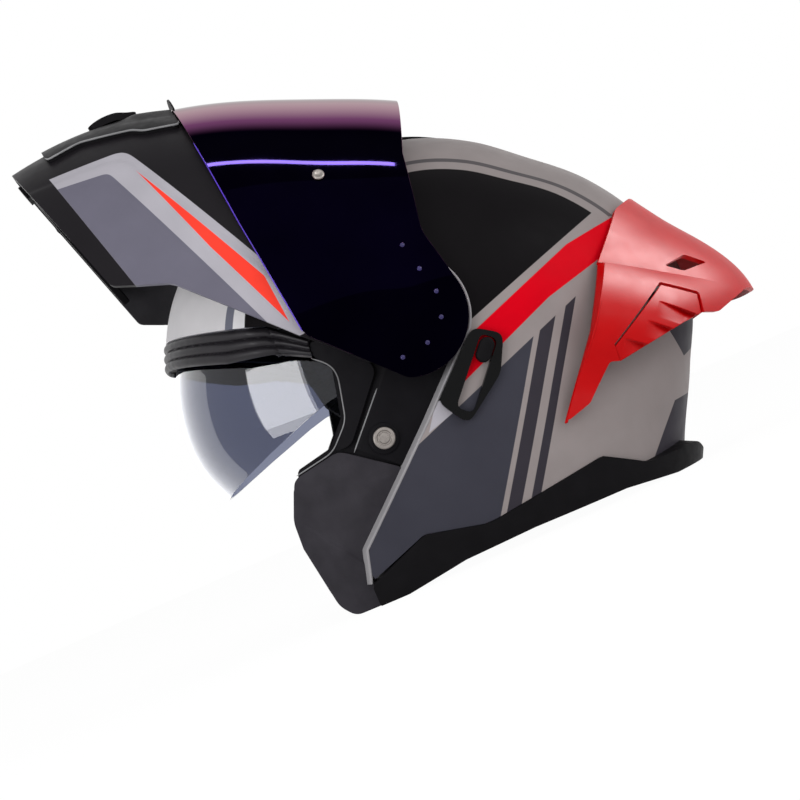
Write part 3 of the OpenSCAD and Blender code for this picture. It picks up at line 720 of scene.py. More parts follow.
def moulding(name, colour, rough=(0.42, 0.56), grain=0.9, depth=0.08, level=0.04):
    """Moulded plastic or rubber: a leathery spark-worn texture, uneven gloss and cloudy tone."""
    f = Finish(name, Specular_IOR_Level=level)
    cloudy = f.vary(colour, 0.85, 1.15, 14)
    return f.coated(cloudy, f.noise(5, 4), rough, f.noise(grain, 4, 0.6), 0.35, depth)


def steel(name, colour, rough=(0.24, 0.4)):
    """Turned steel: fine streaks and uneven gloss."""
    f = Finish(name, Metallic=1.0)
    streaks = f.noise(0.6, 5, 0.7)
    return f.coated(f.vary(colour, 0.8, 1.1, 3), streaks, rough, streaks, 0.15, 0.03)


def lens_tint():
    """Clear smoke polycarbonate, a little darker in cloudy patches no eye would pick out."""
    f = Finish("lens_tint", Transmission_Weight=1.0, IOR=1.45, Roughness=0.02)
    f.feed("Base Color", f.vary(srgb(134, 139, 160), 0.97, 1.03, 60))
    return f.material


def shield_mirror():
    """Near-black shield whose mirror coat turns purple, then pale pink, the more it is seen at a slant."""
    f = Finish("shield_mirror", Metallic=1.0, Specular_Tint=(0.5, 0.5, 0.5, 1.0))
    slant = f.add("ShaderNodeLayerWeight", {"Blend": 0.5}).outputs["Facing"]
    dark = f.vary((0.0006, 0.0003, 0.0025, 1.0), 0.8, 1.2, 40)
    purple = f.mix(f.spread(slant, 0.43, 0.55, smooth=True), dark, (0.165, 0.053, 0.14, 1.0))
    coat = f.mix(f.spread(slant, 0.54, 0.78), purple, (0.74, 0.49, 0.55, 1.0))
    return f.coated(coat, f.noise(20), (0.03, 0.05), f.noise(60, 1), 0.02, 0.1)


def foam_beads(name, colour):
    """Moulded bead foam: rounded cells about 3 mm across with dark joints."""
    f = Finish(name, Specular_IOR_Level=0.05)
    cell = f.add("ShaderNodeTexVoronoi", {"Vector": f.where, "Scale": 1 / 3.2}).outputs["Distance"]
    tone = f.mix(f.spread(cell, 0.3, 0.75), colour, dimmed(colour, 0.5))
    return f.coated(tone, f.noise(2), (0.6, 0.8), f.spread(cell, 0.2, 0.8, 1.0, 0.0), 0.6, 0.4)


MESH_PITCH = 3.2


def mesh_cloth(name, colour, flat=None):
    """Spacer mesh: three sets of waves 60 degrees apart add up to a honeycomb of small holes."""
    f = Finish(name, Sheen_Weight=0.1, Sheen_Roughness=0.5, Specular_IOR_Level=0.05)
    if flat:
        f.where = f.add("ShaderNodeAttribute", attribute_name=flat).outputs["Vector"]
    waves = []
    for angle in (0, 60, 120):
        a = math.radians(angle)
        run = f.dot((math.cos(a), 0.0, math.sin(a)))
        waves.append(f.maths("COSINE", f.maths("MULTIPLY", run, 4 * math.pi / (math.sqrt(3) * MESH_PITCH))))
    hole = f.spread(f.maths("ADD", f.maths("ADD", waves[0], waves[1]), waves[2]), -0.2, 2.2, smooth=True)
    thread = f.noise(0.35, 2)
    tone = f.vary(f.mix(hole, colour, dimmed(colour, 0.2)), 0.85, 1.15, 8)
    height = f.maths("MULTIPLY_ADD", thread, 0.15, f.minus(1.0, hole))
    return f.coated(tone, thread, (0.75, 0.95), height, 0.7, 0.5)


def woven_webbing(name, colour):
    """Nylon webbing: ribs across the strap and a herringbone of slanting threads."""
    f = Finish(name, Sheen_Weight=0.2, Specular_IOR_Level=0.2)
    flow = f.add("ShaderNodeAttribute", attribute_name="weave").outputs["Vector"]
    parts = f.add("ShaderNodeSeparateXYZ", {0: flow})
    u, v = parts.outputs[0], parts.outputs[1]
    fold = f.maths("PINGPONG", u, 2.5)
    rib = f.maths("SINE", f.maths("MULTIPLY", f.maths("ADD", v, fold), 2 * math.pi / 1.4))
    tone = f.mix(f.spread(rib, -1, 1), dimmed(colour, 0.55), colour)
    return f.coated(tone, f.noise(1, 2), (0.6, 0.8), rib, 0.5, 0.25)


PAINT_SHELL = shell_paint()
PAINT_CHIN = chin_paint()
PAINT_RED = plain_paint("spoiler_red", srgb(190, 2, 6), (0.38, 0.46), Specular_IOR_Level=0.1)
# Grey of the shell's cut edge, made lighter than the shell's grey as a painted highlight for the light that
# the chamfer catches
PAINT_STEP_HIGHLIGHT = plain_paint("step_grey_painted_highlight", srgb(156, 154, 157), Specular_IOR_Level=0.06)
PAINT_INSIDE = moulding("shell_inside", srgb(52, 51, 54), (0.5, 0.7), 1.6, 0.2)
BLACK_TRIM = moulding("black_trim", srgb(19, 18, 20))
BLACK_COVER = moulding("cover_black", srgb(20, 19, 22))
BLACK_JAW = moulding("jaw_black", srgb(54, 52, 57), (0.45, 0.6), 0.8, 0.1)
RUBBER = moulding("gasket_rubber", srgb(34, 32, 36), (0.34, 0.48), 0.7, 0.05, 0.25)
GLOSS_BLACK = moulding("gloss_black", srgb(9, 9, 10), (0.14, 0.22), 3.0, 0.02, 0.1)
STUD_VIOLET = moulding("stud_violet", srgb(40, 34, 84), (0.2, 0.3), 1.0, 0.02, 0.3)
# Bright violet for a thin bead on the shield's lower edge: a painted reflection of the violet glint the
# mirror coat shows there
EDGE_VIOLET_REFLECTION = moulding("edge_violet_painted_reflection", srgb(84, 52, 190), (0.2, 0.3), 1.0, 0.02, 0.3)
# Pale grey for thin beads along edges: painted highlights, standing for the light that those edges catch
HIGHLIGHT_BEAD_GREY = moulding("bead_grey_painted_highlight", srgb(138, 138, 140), (0.35, 0.5), 0.8, 0.05)
VENT_BLACK = moulding("vent_black", srgb(24, 23, 25), (0.34, 0.46), 0.8, 0.06)
STEEL = steel("turned_steel", srgb(142, 136, 132))
STEEL_DARK = steel("pressed_steel", srgb(112, 112, 116), (0.34, 0.5))
LENS_TINT = lens_tint()
SHIELD = shield_mirror()
FOAM = foam_beads("bead_foam", srgb(44, 44, 48))
LINING = mesh_cloth("lining_mesh", srgb(38, 38, 42))
LINING_ROUND = mesh_cloth("lining_round", srgb(34, 34, 38), "cloth")
WEBBING = woven_webbing("strap_webbing", srgb(34, 34, 37))
BUTTON_RED = moulding("lever_red", srgb(176, 16, 24), (0.35, 0.5), 1.0, 0.05, 0.4)


def even(start, stop, count):
    return np.linspace(start, stop, count)


# Shell
def shell_skin():
    """Outer skin with its two stepped side recesses: the skin outside the recess, a chamfer down from the
    recess edge, and the recess floor."""
    upper = skin(SHELL, all_of(clear_of(FACE_CUT), clear_of(BASE_CUT), clear_of(RECESS_OUTLINE)),
                 even(-90, 270, 325), even(-80, 80, 163))
    fine, x, z = resampled(RECESS_EDGE, 420)
    way = averaged(np.stack([np.gradient(x), np.gradient(z)], -1), 6, mode="edge")
    inward = unit(np.stack([-way[:, 1], way[:, 0]], -1))
    down = np.linspace(0, 1, 7)[:, None]
    px, pz = x + CHAMFER * down * inward[:, 0], z + CHAMFER * down * inward[:, 1]
    left = SHELL.left(px, pz, -RECESS * down)
    step = left.reshape(-1, 3), flipped(grid_faces(len(down), len(fine)))
    floor = side_skin(SHELL, all_of(clear_of(FACE_CUT), clear_of(BASE_CUT), within(RECESS_OUTLINE)),
                      (-125, 22, 99), (0, 196, 131), -RECESS)
    return upper, step, floor


upper, step, floor = shell_skin()
thicken(add_piece("shell_skin", upper, "shell", "shell_paint", PAINT_SHELL, "outer_shell"), SHELL_WALL, 0.5,
        PAINT_INSIDE)
# The chamfer down into the recess is the shell's grey edge, lightened as a painted highlight
thicken(add_piece("shell_step", both(step), "shell", "shell_paint", PAINT_STEP_HIGHLIGHT), 1.2, 0)
thicken(add_piece("shell_recess", both(floor), "shell", "black_trim", BLACK_COVER), 3.0, 0)

trim = skin(TRIM, within(TRIM_OUTLINE, 3, (0, 7, 13)), even(180, 360, 361), even(-88, 88, 261), 1.0)
thicken(add_piece("base_trim", trim, "shell", "black_trim", BLACK_TRIM, "lower_trim"), 13.5, 1.2)


# Brow gasket: three soft rolls along the upper edge of the face opening
ROLL, SEAM_X, DIVE_X = 2.4, -91.0, -101.0


def gasket_rolls(p):
    """Height 2.4 sqrt(|sin|) over three rolls that share the strip's width, with a seam each side. Behind
    the seam the strip runs down into the recess and ends at the rim."""
    x = p[..., 0]
    low = inside_by(GASKET_LOW + [[-260, 100], [-73.4, 100]], x, p[..., 2])
    top = inside_by(GASKET_TOP + [[-72.4, 300], [-260, 300]], x, p[..., 2])
    share = np.clip(-low, 0, 60) / np.maximum(np.clip(-low, 0, 60) + np.clip(-top, 0, 60), 1e-3)
    rolls = ROLL * np.sqrt(np.abs(np.sin(share * 3 * np.pi)))
    seam = 0.8 * np.exp(-((x - SEAM_X) / 0.5) ** 2)
    return rolls - ROLL / 2 - 5.6 * eased((x - DIVE_X) / 15) - seam


brow = skin(SHELL, within(GASKET_TOP + GASKET_LOW), even(125, 185, 301), even(-80, 80, 361),
            gasket_rolls)
thicken(add_piece("gasket", brow, "shell", "gasket_rubber", RUBBER, "brow_gasket"), 2.4)


# Side covers, made on the left and mirrored to the right
def side_pair(name, node, surface, slot, finish, wall, edge):
    for side, shape in (("left", surface), ("right", mirrored(*surface))):
        thicken(add_piece(f"{name}_{side}", shape, "shell", slot, finish, f"{node}_{side}"), wall, edge)


def jaw_fold(p):
    """The front of the jaw cover stands 1.2 mm proud of a slanting crease that fades out forwards, and its
    middle swells by 1.5 mm over 14 mm in from the edge."""
    ahead = line_field((-91.2, 25.2), (-110.5, 52.8))(p)
    fade = eased((p[..., 0] + 118) / 14)
    swell = 1.5 * eased(within(JAW)(p) / 14)
    return -JAW_SINK + swell + 1.2 * eased(ahead / 1.6 + 0.5) * fade


def cover_seam(p):
    """The front strip of the hinge cover lies 0.9 mm lower than the rest."""
    behind = line_field((-75, 81.2), (-47.6, 110.7))(p)
    return -COVER_SINK - 0.9 * eased(behind / 1.2 + 0.5)


side_pair("eyeport_rim", "eyeport_trim",
          side_skin(SHELL, within(EYEPORT, 4), (-86, -42, 79), (85, 152, 115), -RIM_SINK),
          "black_trim", BLACK_COVER, 3.4, 0.8)
side_pair("jaw_panel", "jaw_cover",
          side_skin(SHELL, within(JAW, 4, (3, 4)), (-121, -49, 97), (-2, 90, 123), jaw_fold),
          "black_trim", BLACK_JAW, 2.8, 0.8)
side_pair("cover_panel", "hinge_cover",
          side_skin(SHELL, all_of(within(COVER, 2), ring_hole(HINGE, 9.6)),
                    (-76, 20, 129), (62, 186, 165), cover_seam),
          "black_trim", BLACK_COVER, 1.6, 0.4)


# Latch striker: a round boss, and a waist with a domed cap
BOSS = [(0, -1.0), (8.8, -1.0), (8.8, 0.9), (8.3, 1.4), (5.2, 1.4)]
CAP = [(5.05, 1.4), (5.05, 3.4), (5.8, 3.4), (6.25, 3.7), (6.25, 4.5), (5.7, 5.1), (4.2, 5.2), (3.9, 4.6),
       (3.2, 4.6), (2.9, 5.2), (0, 5.25)]
striker_at = SHELL.left(*STRIKER, -COVER_SINK)
boss, cap = (both(seated(lathed(p, 56), striker_at, (0, -1, 0))) for p in (BOSS, CAP))
add_piece("striker_boss", boss, "shell", "black_trim", BLACK_COVER)
soften(add_piece("striker_cap", cap, "shell", "steel", STEEL, "striker_pins"), 0.15)


# Spoiler
CREASE_FRONT, CREASE_BACK = (96.0, 125.5), (180.0, 79.5)
FRONT_EDGE = np.array([(94.0, 126.5), (73.0, 93.0), (39.0, 52.0)])
FRONT_TOP = np.array([(97.0, 124.9), (74.0, 92.6), (40.0, 52.0)])


def tail_shape(p):
    """The side below the crease stands up to 3 mm proud of the side above it, less further back. It swells
    to 9 mm over the next 26 mm and sinks back between 30 and 75 mm."""
    below = np.maximum(line_field(CREASE_BACK, CREASE_FRONT)(p), 0)
    behind = line_field(FRONT_EDGE[0], FRONT_EDGE[1])(p)
    proud = 3.0 * (1 - eased(behind / 45))
    full = np.maximum(9.0 * (1 - eased((behind - 40) / 50)), proud)
    swell = proud + (full - proud) * (1 - (1 - np.clip(below / 26, 0, 1)) ** 2)
    return swell * (1 - eased((below - 30) / 45))


def wall_strip(low, top, low_off, top_off, count=160, rows=6):
    """Ruled strip on the spoiler's left side between two side-view paths, each at its own height."""
    def along(path, off):
        _, x, z = resampled(path, count)
        return TAIL.left(x, z, off(TAIL.left(x, z)))
    t = np.linspace(0, 1, rows)[:, None, None]
    points = along(low, low_off) * (1 - t) + along(top, top_off) * t
    return points.reshape(-1, 3), grid_faces(rows, count)


def level(off):
    """The same lift at every point."""
    return lambda p: np.full(p.shape[:-1], off)


LOUVRE_HOLE = [[81.6, 80.7], [122, 103], [143, 89.5], [140.2, 77], [140.2, 50], [81.6, 50]]
LOUVRE_PANEL = [[81.7, 79.3], [121.9, 101.3], [141.3, 88.7], [138.7, 78.1], [126, 77], [81.7, 71.0]]
tail_edge = within(TAIL_OUTLINE, 1.5)
low_edge = within([FRONT_TOP[2]] + TAIL_OUTLINE[1:-2] + [FRONT_TOP[0], FRONT_TOP[1]], 1.5)
below_crease, above_crease = line_field(CREASE_BACK, CREASE_FRONT), line_field(CREASE_FRONT, CREASE_BACK)
tail_top = skin(TAIL, all_of(tail_edge, above_crease, clear_of(OUTLET, 1.5)), even(-30, 40, 201),
                even(-80, 80, 301))
tail_low = skin(TAIL, all_of(low_edge, below_crease, clear_of(LOUVRE_HOLE)), even(-72, 10, 241),
                even(-80, 80, 301), tail_shape)
front_wall = wall_strip(FRONT_EDGE, FRONT_TOP, level(-1.5), tail_shape)
crease_path = [CREASE_FRONT, (140.6, 101.08)]
crease_wall = wall_strip(crease_path, crease_path, tail_shape, level(-0.5))
tail = joined(tail_top, tail_low)
thicken(add_piece("spoiler", tail, "shell", "red_paint", PAINT_RED, "rear_spoiler"), 3.0, 0.6)
walls = both(joined(front_wall, crease_wall))
thicken(add_piece("spoiler_walls", walls, "shell", "red_paint", PAINT_RED), 1.0, 0)

FINS = [((115.8, 93.1), (133.7, 79.3)), ((105.0, 85.6), (117.5, 75.6)), ((88.5, 81.6), (100.0, 73.4))]


def fin_steps(p):
    """The louvre lies 0.4 mm under the spoiler's skin. Below each fin's edge it drops by up to 4.5 mm, more
    towards the edge's lower end, and climbs back over 9 mm."""
    drop = np.zeros(p.shape[:-1])
    for top, low in FINS:
        way = np.array(low) - np.array(top)
        along = ((p[..., 0] - top[0]) * way[0] + (p[..., 2] - top[1]) * way[1]) / np.dot(way, way)
        below = line_field(low, top)(p)
        deep = 4.5 * np.clip(along * 1.3, 0, 1) * np.clip(1 - below / 9, 0, 1) * (below > 0)
        drop = np.maximum(drop, deep)
    return tail_shape(p) - 0.4 - drop


side_pair("louvre", "exhaust_grille",
          side_skin(TAIL, within(LOUVRE_PANEL), (80, 144, 161), (69, 104, 89), fin_steps),
          "red_paint", PAINT_RED, 2.0, 0)

# Crown vent, sun visor switch
VENT_PLAN = [[-10, -24], [-10, 24], [34, 22], [58, 13], [58, -13], [34, -22]]


def vent_lift(p):
    """2.4 mm high in the middle, running out to 1 mm at the back."""
    return 2.4 - 1.4 * eased((p[..., 0] - 20) / 36)


plate = skin(SHELL, within(VENT_PLAN, 8, axes=(0, 1)), even(38, 96, 121), even(-20, 20, 101), vent_lift)
thicken(add_piece("vent_plate", plate, "shell", "vent_paint", VENT_BLACK, "top_vent_base"), 1.6, 0.6)


def crown_slider():
    """Slider bar across the crown, with round ends and a rolled top, square to the shell."""
    a = math.radians(76)
    near = SHELL.radius(np.array([a - 0.02, a, a + 0.02]))
    out = np.array([math.cos(a), 0, math.sin(a)])
    along = np.array([-math.sin(a), 0, math.cos(a)]) + out * (near[2] - near[0]) / 0.04 / near[1]
    normal = np.cross(along, (0, 1, 0))
    normal *= np.sign(np.dot(normal, out))
    along /= np.linalg.norm(along)
    normal /= np.linalg.norm(normal)
    at = np.array([HINGE[0], 0, HINGE[1]]) + out * near[1] + along * 4 + normal * 2.6
    bar = lathed([(0, 0), (5.6, 0), (6, 0.5), (6, 1.8), (5.4, 2.6), (4.2, 3.0), (0, 2.8)], 60, 7.0)
    return seated(bar, at, normal, (0, 1, 0))


add_piece("vent_slider", crown_slider(), "crown_vent", "black_trim", BLACK_TRIM, "top_vent_slider")

SLOT_WAY = (SLOT_HIGH - SLOT_LOW) / np.linalg.norm(SLOT_HIGH - SLOT_LOW)
SLOT_ACROSS = np.array([-SLOT_WAY[1], SLOT_WAY[0]])
SLOT = [SLOT_LOW - 8 * SLOT_WAY + 5 * SLOT_ACROSS, SLOT_HIGH + 8 * SLOT_WAY + 5 * SLOT_ACROSS,
        SLOT_HIGH + 8 * SLOT_WAY - 5 * SLOT_ACROSS, SLOT_LOW - 8 * SLOT_WAY - 5 * SLOT_ACROSS]
bezel = side_skin(SHELL, all_of(within(BEZEL, 4), clear_of(SLOT, 4)), (-22, 28, 101), (72, 121, 99), 3.4)
thicken(add_piece("switch_surround", bezel, "shell", "gloss_black", GLOSS_BLACK, "switch_bezel"), 3.0, 0.8)
knob = lathed([(0, 0), (4.2, 0), (4.2, 4.2), (3.7, 5.0), (2.9, 5.5), (0, 5.2)], 60, 2.8)
knob_y = SHELL.side(*SLOT_LOW) + 1
knob = seated(knob, (SLOT_HIGH[0], -knob_y, SLOT_HIGH[1]), (0, -1, 0), (SLOT_WAY[0], 0, SLOT_WAY[1]))
add_piece("switch_knob", knob, "visor_switch", "black_trim", BLACK_TRIM, "sun_visor_switch")

# Sun visor
lens = skin(LENS, within(LENS_OUTLINE, 5), even(60, 300, 361), even(-88, 88, 221))
thicken(add_piece("smoke_lens", lens, "sun_visor", "lens_tint", LENS_TINT, "sun_visor"), 2.0)


# Lining and pads
def lining_quilt(p):
    """Sewn channels: the lining sinks 2.6 mm along lines across the head and one line each side."""
    angle = np.arctan2(p[..., 2] - HINGE[1], p[..., 0] - HINGE[0])
    seam = np.minimum(np.abs(np.abs(p[..., 1]) - 32), 30 * np.abs(np.sin(angle * 4)))
    return -41.0 + 2.6 * np.exp(-(seam / 3.0) ** 2)


def places(mesh):
    """The points of a mesh, as one flat list."""
    co = np.empty(len(mesh.vertices) * 3)
    mesh.vertices.foreach_get("co", co)
    return co


def store(piece, name, vectors):
    """Vectors kept with a piece's points, for its finish to read."""
    piece.data.attributes.new(name, "FLOAT_VECTOR", "POINT").data.foreach_set("vector", vectors.ravel())


def flat_map(piece):
    """Place of each point as if the cloth lay flat: distance round the hinge axis at 90 mm, and across."""
    p = places(piece.data).reshape(-1, 3) / MM
    round_axis = (np.arctan2(p[:, 2] - HINGE[1], p[:, 0] - HINGE[0]) + np.pi / 2) % (2 * np.pi)
    return np.stack([round_axis * 90, 0 * round_axis, p[:, 1]], -1)


quilt = skin(SHELL, clear_of(LINING_CUT), even(-90, 270, 241), even(-72, 72, 161), lining_quilt, turn=True)
lining = add_piece("crown_cloth", quilt, "shell", "lining", LINING_ROUND, "crown_lining")
store(lining, "cloth", flat_map(lining))
thicken(lining, 4.0, 0.8)

PAD_CORNERS = np.array([[-106, 17], [-15, 21], [-24, 62], [-88, 82]], float)
PAD_BACK, PAD_EDGE, PAD_CROWN = 15.6, 6.0, 26.0


def cheek_pad(shrink=1.5, count=41):
    """Pad between a back that follows the shell and a crowned face: depth 6 + 20 sqrt((1-u^4)(1-v^4)), less
    the room that is left for swelling. Both are grids, joined by a wall round their rims."""
    s = np.linspace(-1, 1, count)
    u, v = np.meshgrid(s, s, indexing="ij")
    e = 1 - 0.2 * u * u * v * v
    a, b = ((u * e + 1) / 2)[..., None], ((v * e + 1) / 2)[..., None]
    flat = ((1 - b) * ((1 - a) * PAD_CORNERS[0] + a * PAD_CORNERS[1])
            + b * (a * PAD_CORNERS[2] + (1 - a) * PAD_CORNERS[3]))
    flat = flat + (flat.mean((0, 1)) - flat) * shrink / 30
    y = -SHELL.side(flat[..., 0], flat[..., 1], -PAD_BACK - 0.4)
    depth = PAD_EDGE + (PAD_CROWN - PAD_EDGE) * np.sqrt(np.maximum((1 - u ** 4) * (1 - v ** 4), 0)) - shrink
    back = np.stack([flat[..., 0], y, flat[..., 1]], -1)
    face = np.stack([flat[..., 0], y + depth, flat[..., 1]], -1)
    quads = grid_faces(count, count)[0]
    total = count * count
    number = np.arange(total).reshape(count, count)
    rim = np.concatenate([number[:-1, 0], number[-1, :-1], number[:0:-1, -1], number[0, :0:-1]])
    ahead = np.roll(rim, -1)
    wall = np.stack([rim, ahead, ahead + total, rim + total], -1)
    points = np.concatenate([back.reshape(-1, 3), face.reshape(-1, 3)])
    return points, [quads, quads[:, ::-1] + total, wall[:, ::-1]]


def rounder(piece):
    smooth = piece.modifiers.new("smooth", "SUBSURF")
    smooth.levels = smooth.render_levels = 1


PAD_VOXEL, PAD_PRESSURE, SWELL_FRAMES = 4.0, 4.0, 20


def inflate(piece, cap=4.0):
    """Cloth with pressure inside swells the remeshed pad; no point moves further than the cap."""
    mesh = piece.data
    work = bmesh.new()
    work.from_mesh(mesh)
    bmesh.ops.recalc_face_normals(work, faces=work.faces)
    work.to_mesh(mesh)
    work.free()
    remesh = piece.modifiers.new("remesh", "REMESH")
    remesh.mode = "VOXEL"
    remesh.voxel_size = PAD_VOXEL * MM
    bpy.context.view_layer.objects.active = piece
    bpy.ops.object.modifier_apply(modifier="remesh")
    mesh = piece.data
    before = places(mesh)
    cloth = piece.modifiers.new("swell", "CLOTH")
    cloth.settings.use_pressure = True
    cloth.settings.uniform_pressure_force = PAD_PRESSURE
    cloth.settings.effector_weights.gravity = 0
    for number in range(1, SWELL_FRAMES + 1):
        scene.frame_set(number)
    grown = piece.evaluated_get(bpy.context.evaluated_depsgraph_get())
    move = (places(grown.data) - before).reshape(-1, 3)
    piece.modifiers.remove(cloth)
    scene.frame_set(1)
    far = np.linalg.norm(move, axis=1, keepdims=True)
    move *= np.minimum(1, cap * MM / np.maximum(far, 1e-9))
    mesh.vertices.foreach_set("co", before + move.ravel())
    mesh.polygons.foreach_set("use_smooth", np.ones(len(mesh.polygons), bool))
    rounder(piece)
    return piece


pad = inflate(add_piece("cheek_cushion_left", cheek_pad(), "shell", "lining", LINING, "cheek_pad_left"))


def mirror_piece(piece, name, node):
    """The same mesh on the other side: y changes sign and every face turns round."""
    mesh = piece.data.copy()
    mesh.name = name
    co = places(mesh)
    co[1::3] *= -1
    mesh.vertices.foreach_set("co", co)
    mesh.flip_normals()
    twin = bpy.data.objects.new(name, mesh)
    scene.collection.objects.link(twin)
    rounder(twin)
    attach(twin, "shell")
    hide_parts(node)
    return twin


mirror_piece(pad, "cheek_cushion_right", "cheek_pad_right")


def neck_roll():
    """Roll round the back of the neck: an oval, 14 wide and 17 high, carried along the inside of the
    shell from one side to the other and closed by tapering to nothing at its ends."""
    t = np.linspace(-1, 1, 121)
    ring = np.linspace(0, 2 * np.pi, 33)[:-1]
    tilt = t * math.radians(66)
    angle = np.radians(-38 - 30 * t ** 2)
    spine = SHELL.at(angle, tilt, -20.0)
    spine[:, 2] = 27.0
    spine[:, 0] = np.minimum(spine[:, 0], 100.0)
    way = unit(np.gradient(spine, axis=0))
    out = np.cross(way, (0, 0, 1.0))
    size = np.sqrt(np.maximum(1 - np.abs(t) ** 6, 0))[:, None, None]
    flat = (np.cos(ring)[None, :, None] * 7.0 * out[:, None, :]
            + np.sin(ring)[None, :, None] * np.array([0, 0, 8.5]))
    points = spine[:, None, :] + size * flat
    return points.reshape(-1, 3), grid_faces(len(t), len(ring), close_columns=True)


collar = inflate(add_piece("neck_cushion", neck_roll(), "shell", "lining", LINING, "neck_roll"), cap=2.0)


# Chin strap
STRAP_HALF_WIDE, STRAP_HALF_THICK = 10.0, 1.0
# Its upper end hangs 2.7 mm inside the shell's wall
STRAP_TOP = SHELL.side(0.0, 40.0, -SHELL_WALL) - 1.6 - 1.1
STRAP_PATH = np.array([(STRAP_TOP, 58), (STRAP_TOP, 42), (STRAP_TOP - 16, 22.6), (58, 11.1), (18, 8.1)])


def strap(points_yz):
    """Flat webbing: a rounded bar section carried along a smooth path in the plane across the helmet."""
    s, *path = resampled(points_yz, 160)
    path = np.stack(path, -1)
    for _ in range(3):
        path = averaged(path, 5, mode="reflect", reflect_type="odd")
    way = unit(np.gradient(path, axis=0))
    normal = np.stack([-way[:, 1], way[:, 0]], -1)
    ring = np.linspace(0, 2 * np.pi, 41)[:-1]
    across = STRAP_HALF_WIDE * np.sign(np.cos(ring)) * np.abs(np.cos(ring)) ** 0.25
    thick = STRAP_HALF_THICK * np.sign(np.sin(ring)) * np.abs(np.sin(ring)) ** 0.5
    y = path[:, :1] + normal[:, :1] * thick
    z = path[:, 1:] + normal[:, 1:] * thick
    points = np.stack([across + 0 * y, y, z], -1)
    weave = np.stack([across + 0 * y, s[:, None] + 0 * y, 0 * y], -1)
    return points.reshape(-1, 3), grid_faces(len(s), len(ring), close_columns=True), weave.reshape(-1, 3)


for side, sign in (("left", -1), ("right", 1)):
    points, faces, weave = strap(STRAP_PATH * (sign, 1))
    if sign > 0:
        faces = flipped(faces)
    band = add_piece(f"webbing_{side}", (points, faces), "shell", "webbing", WEBBING, f"strap_{side}")
    store(band, "weave", weave)


# Chin bar, drawn shut and raised
def chin_ridge(p):
    """Inside the pale band, 3 mm in from its outer edges, the skin steps up by 0.8 mm."""
    front, top = line_field(*BAND_FRONT)(p), line_field(*BAND_TOP)(p)
    deep = -3.0 * np.logaddexp(-front / 3.0, -top / 3.0)
    return 0.8 * eased((deep - 3.0) / 2.6)


CHIN_ANGLES = np.concatenate([even(-90, 148, 120), even(150, 244, 251), even(246, 270, 13)])
chin = skin(CHIN, within(CHIN_OUTLINE, 2), CHIN_ANGLES, even(-90, 90, 241), chin_ridge)
chin = add_piece("chin_skin", chin, "chin_bar", "chin_paint", PAINT_CHIN, "chin_bar")
thicken(chin, 4.0, 0.6, PAINT_INSIDE)
foam = skin(CHIN, within(CHIN_FOAM, 6), even(130, 240, 161), even(-72, 72, 181), -15.6, turn=True)
thicken(add_piece("chin_foam", foam, "chin_bar", "foam", FOAM, "chin_foam_liner"), 11.0, 1.5)


def cover_lift(p):
    """3.2 mm proud, rising to 6.4 mm near the shield between two slanting flanks."""
    return 3.2 + 3.2 * eased((p[..., 2] - 44) / 16) * eased((46 - np.abs(p[..., 1])) / 18)


def door_lift(p):
    """A scoop: flush with the cover at its front, 7 mm higher towards its back."""
    z = p[..., 2]
    return 3.5 + 7.2 * np.sqrt(eased((z - 25) / 26)) - 1.5 * eased((z - 50) / 7)


cover = skin(CHIN, within(VENT_COVER, 3), even(150, 240, 241), even(-75, 75, 241), cover_lift)
cover = add_piece("chin_vent_plate", cover, "chin_bar", "black_trim", VENT_BLACK, "chin_vent_cover")
thicken(cover, 2.8, 0.7)
DOOR = [[-24, 27], [24, 27], [21, 57], [-21, 57]]
door = skin(CHIN, within(DOOR, 6, axes=(1, 2)), even(180, 240, 241), even(-15, 15, 91), door_lift)
thicken(add_piece("vent_shutter", door, "chin_vent", "black_trim", VENT_BLACK, "chin_vent_door"), 4.6, 0.6)
flap = skin(CHIN, within(BREATH_GUARD, 6), even(150, 240, 161), even(-60, 60, 161), -18.0, turn=True)
thicken(add_piece("breath_flap", flap, "chin_bar", "gasket_rubber", RUBBER, "breath_guard"), 1.8, 0.6)


def edge_bead(body, path, lift, size, count=240, sides=12):
    """Bead of round section along a side-view path, on both sides of a body, thinner over its last 3 mm."""
    s, x, z = resampled(path, count)
    spine = body.left(x, z, lift(body.left(x, z)))
    way = unit(np.gradient(spine, axis=0))
    out = unit(np.cross(way, (0.0, 1.0, 0.0)))
    up = np.cross(out, way)
    ring = np.linspace(0, 2 * np.pi, sides + 1)[:-1, None]
    taper = size * np.sqrt(np.clip(np.minimum(s, s[-1] - s) / 3, 0.02, 1))[:, None, None]
    points = spine[:, None, :] + taper * (np.cos(ring) * out[:, None, :] + np.sin(ring) * up[:, None, :])
    return both((points.reshape(-1, 3), grid_faces(count, sides, close_columns=True)))


def rim_lift(p):
    """Beside the eye port the bead lies 6.2 mm deep, and 0.8 mm deeper round its lower corner."""
    return -7.0 + 0.8 * eased((p[:, 2] - 86) / 6)


# Grey beads along the eye port rim and the hinge cover's seam are painted highlights: thin light lines
# where those edges catch the light
rim_path = [[-74, 140.2], [-66.4, 133.4], [-64.4, 126], [-70.4, 101.2], [-83.6, 88.2], [-107, 84.4]]
rim_highlight_bead = edge_bead(SHELL, soft_corners(rim_path, 5, (0, 5)), rim_lift, 0.36)
seam_highlight_bead = edge_bead(SHELL, [(-47.6, 110.7), (-73, 83.4)], level(-8.3), 0.4)
add_piece("seam_highlight_bead", seam_highlight_bead, "shell", "black_trim", HIGHLIGHT_BEAD_GREY)
add_piece("rim_highlight_bead", rim_highlight_bead, "shell", "black_trim", HIGHLIGHT_BEAD_GREY)
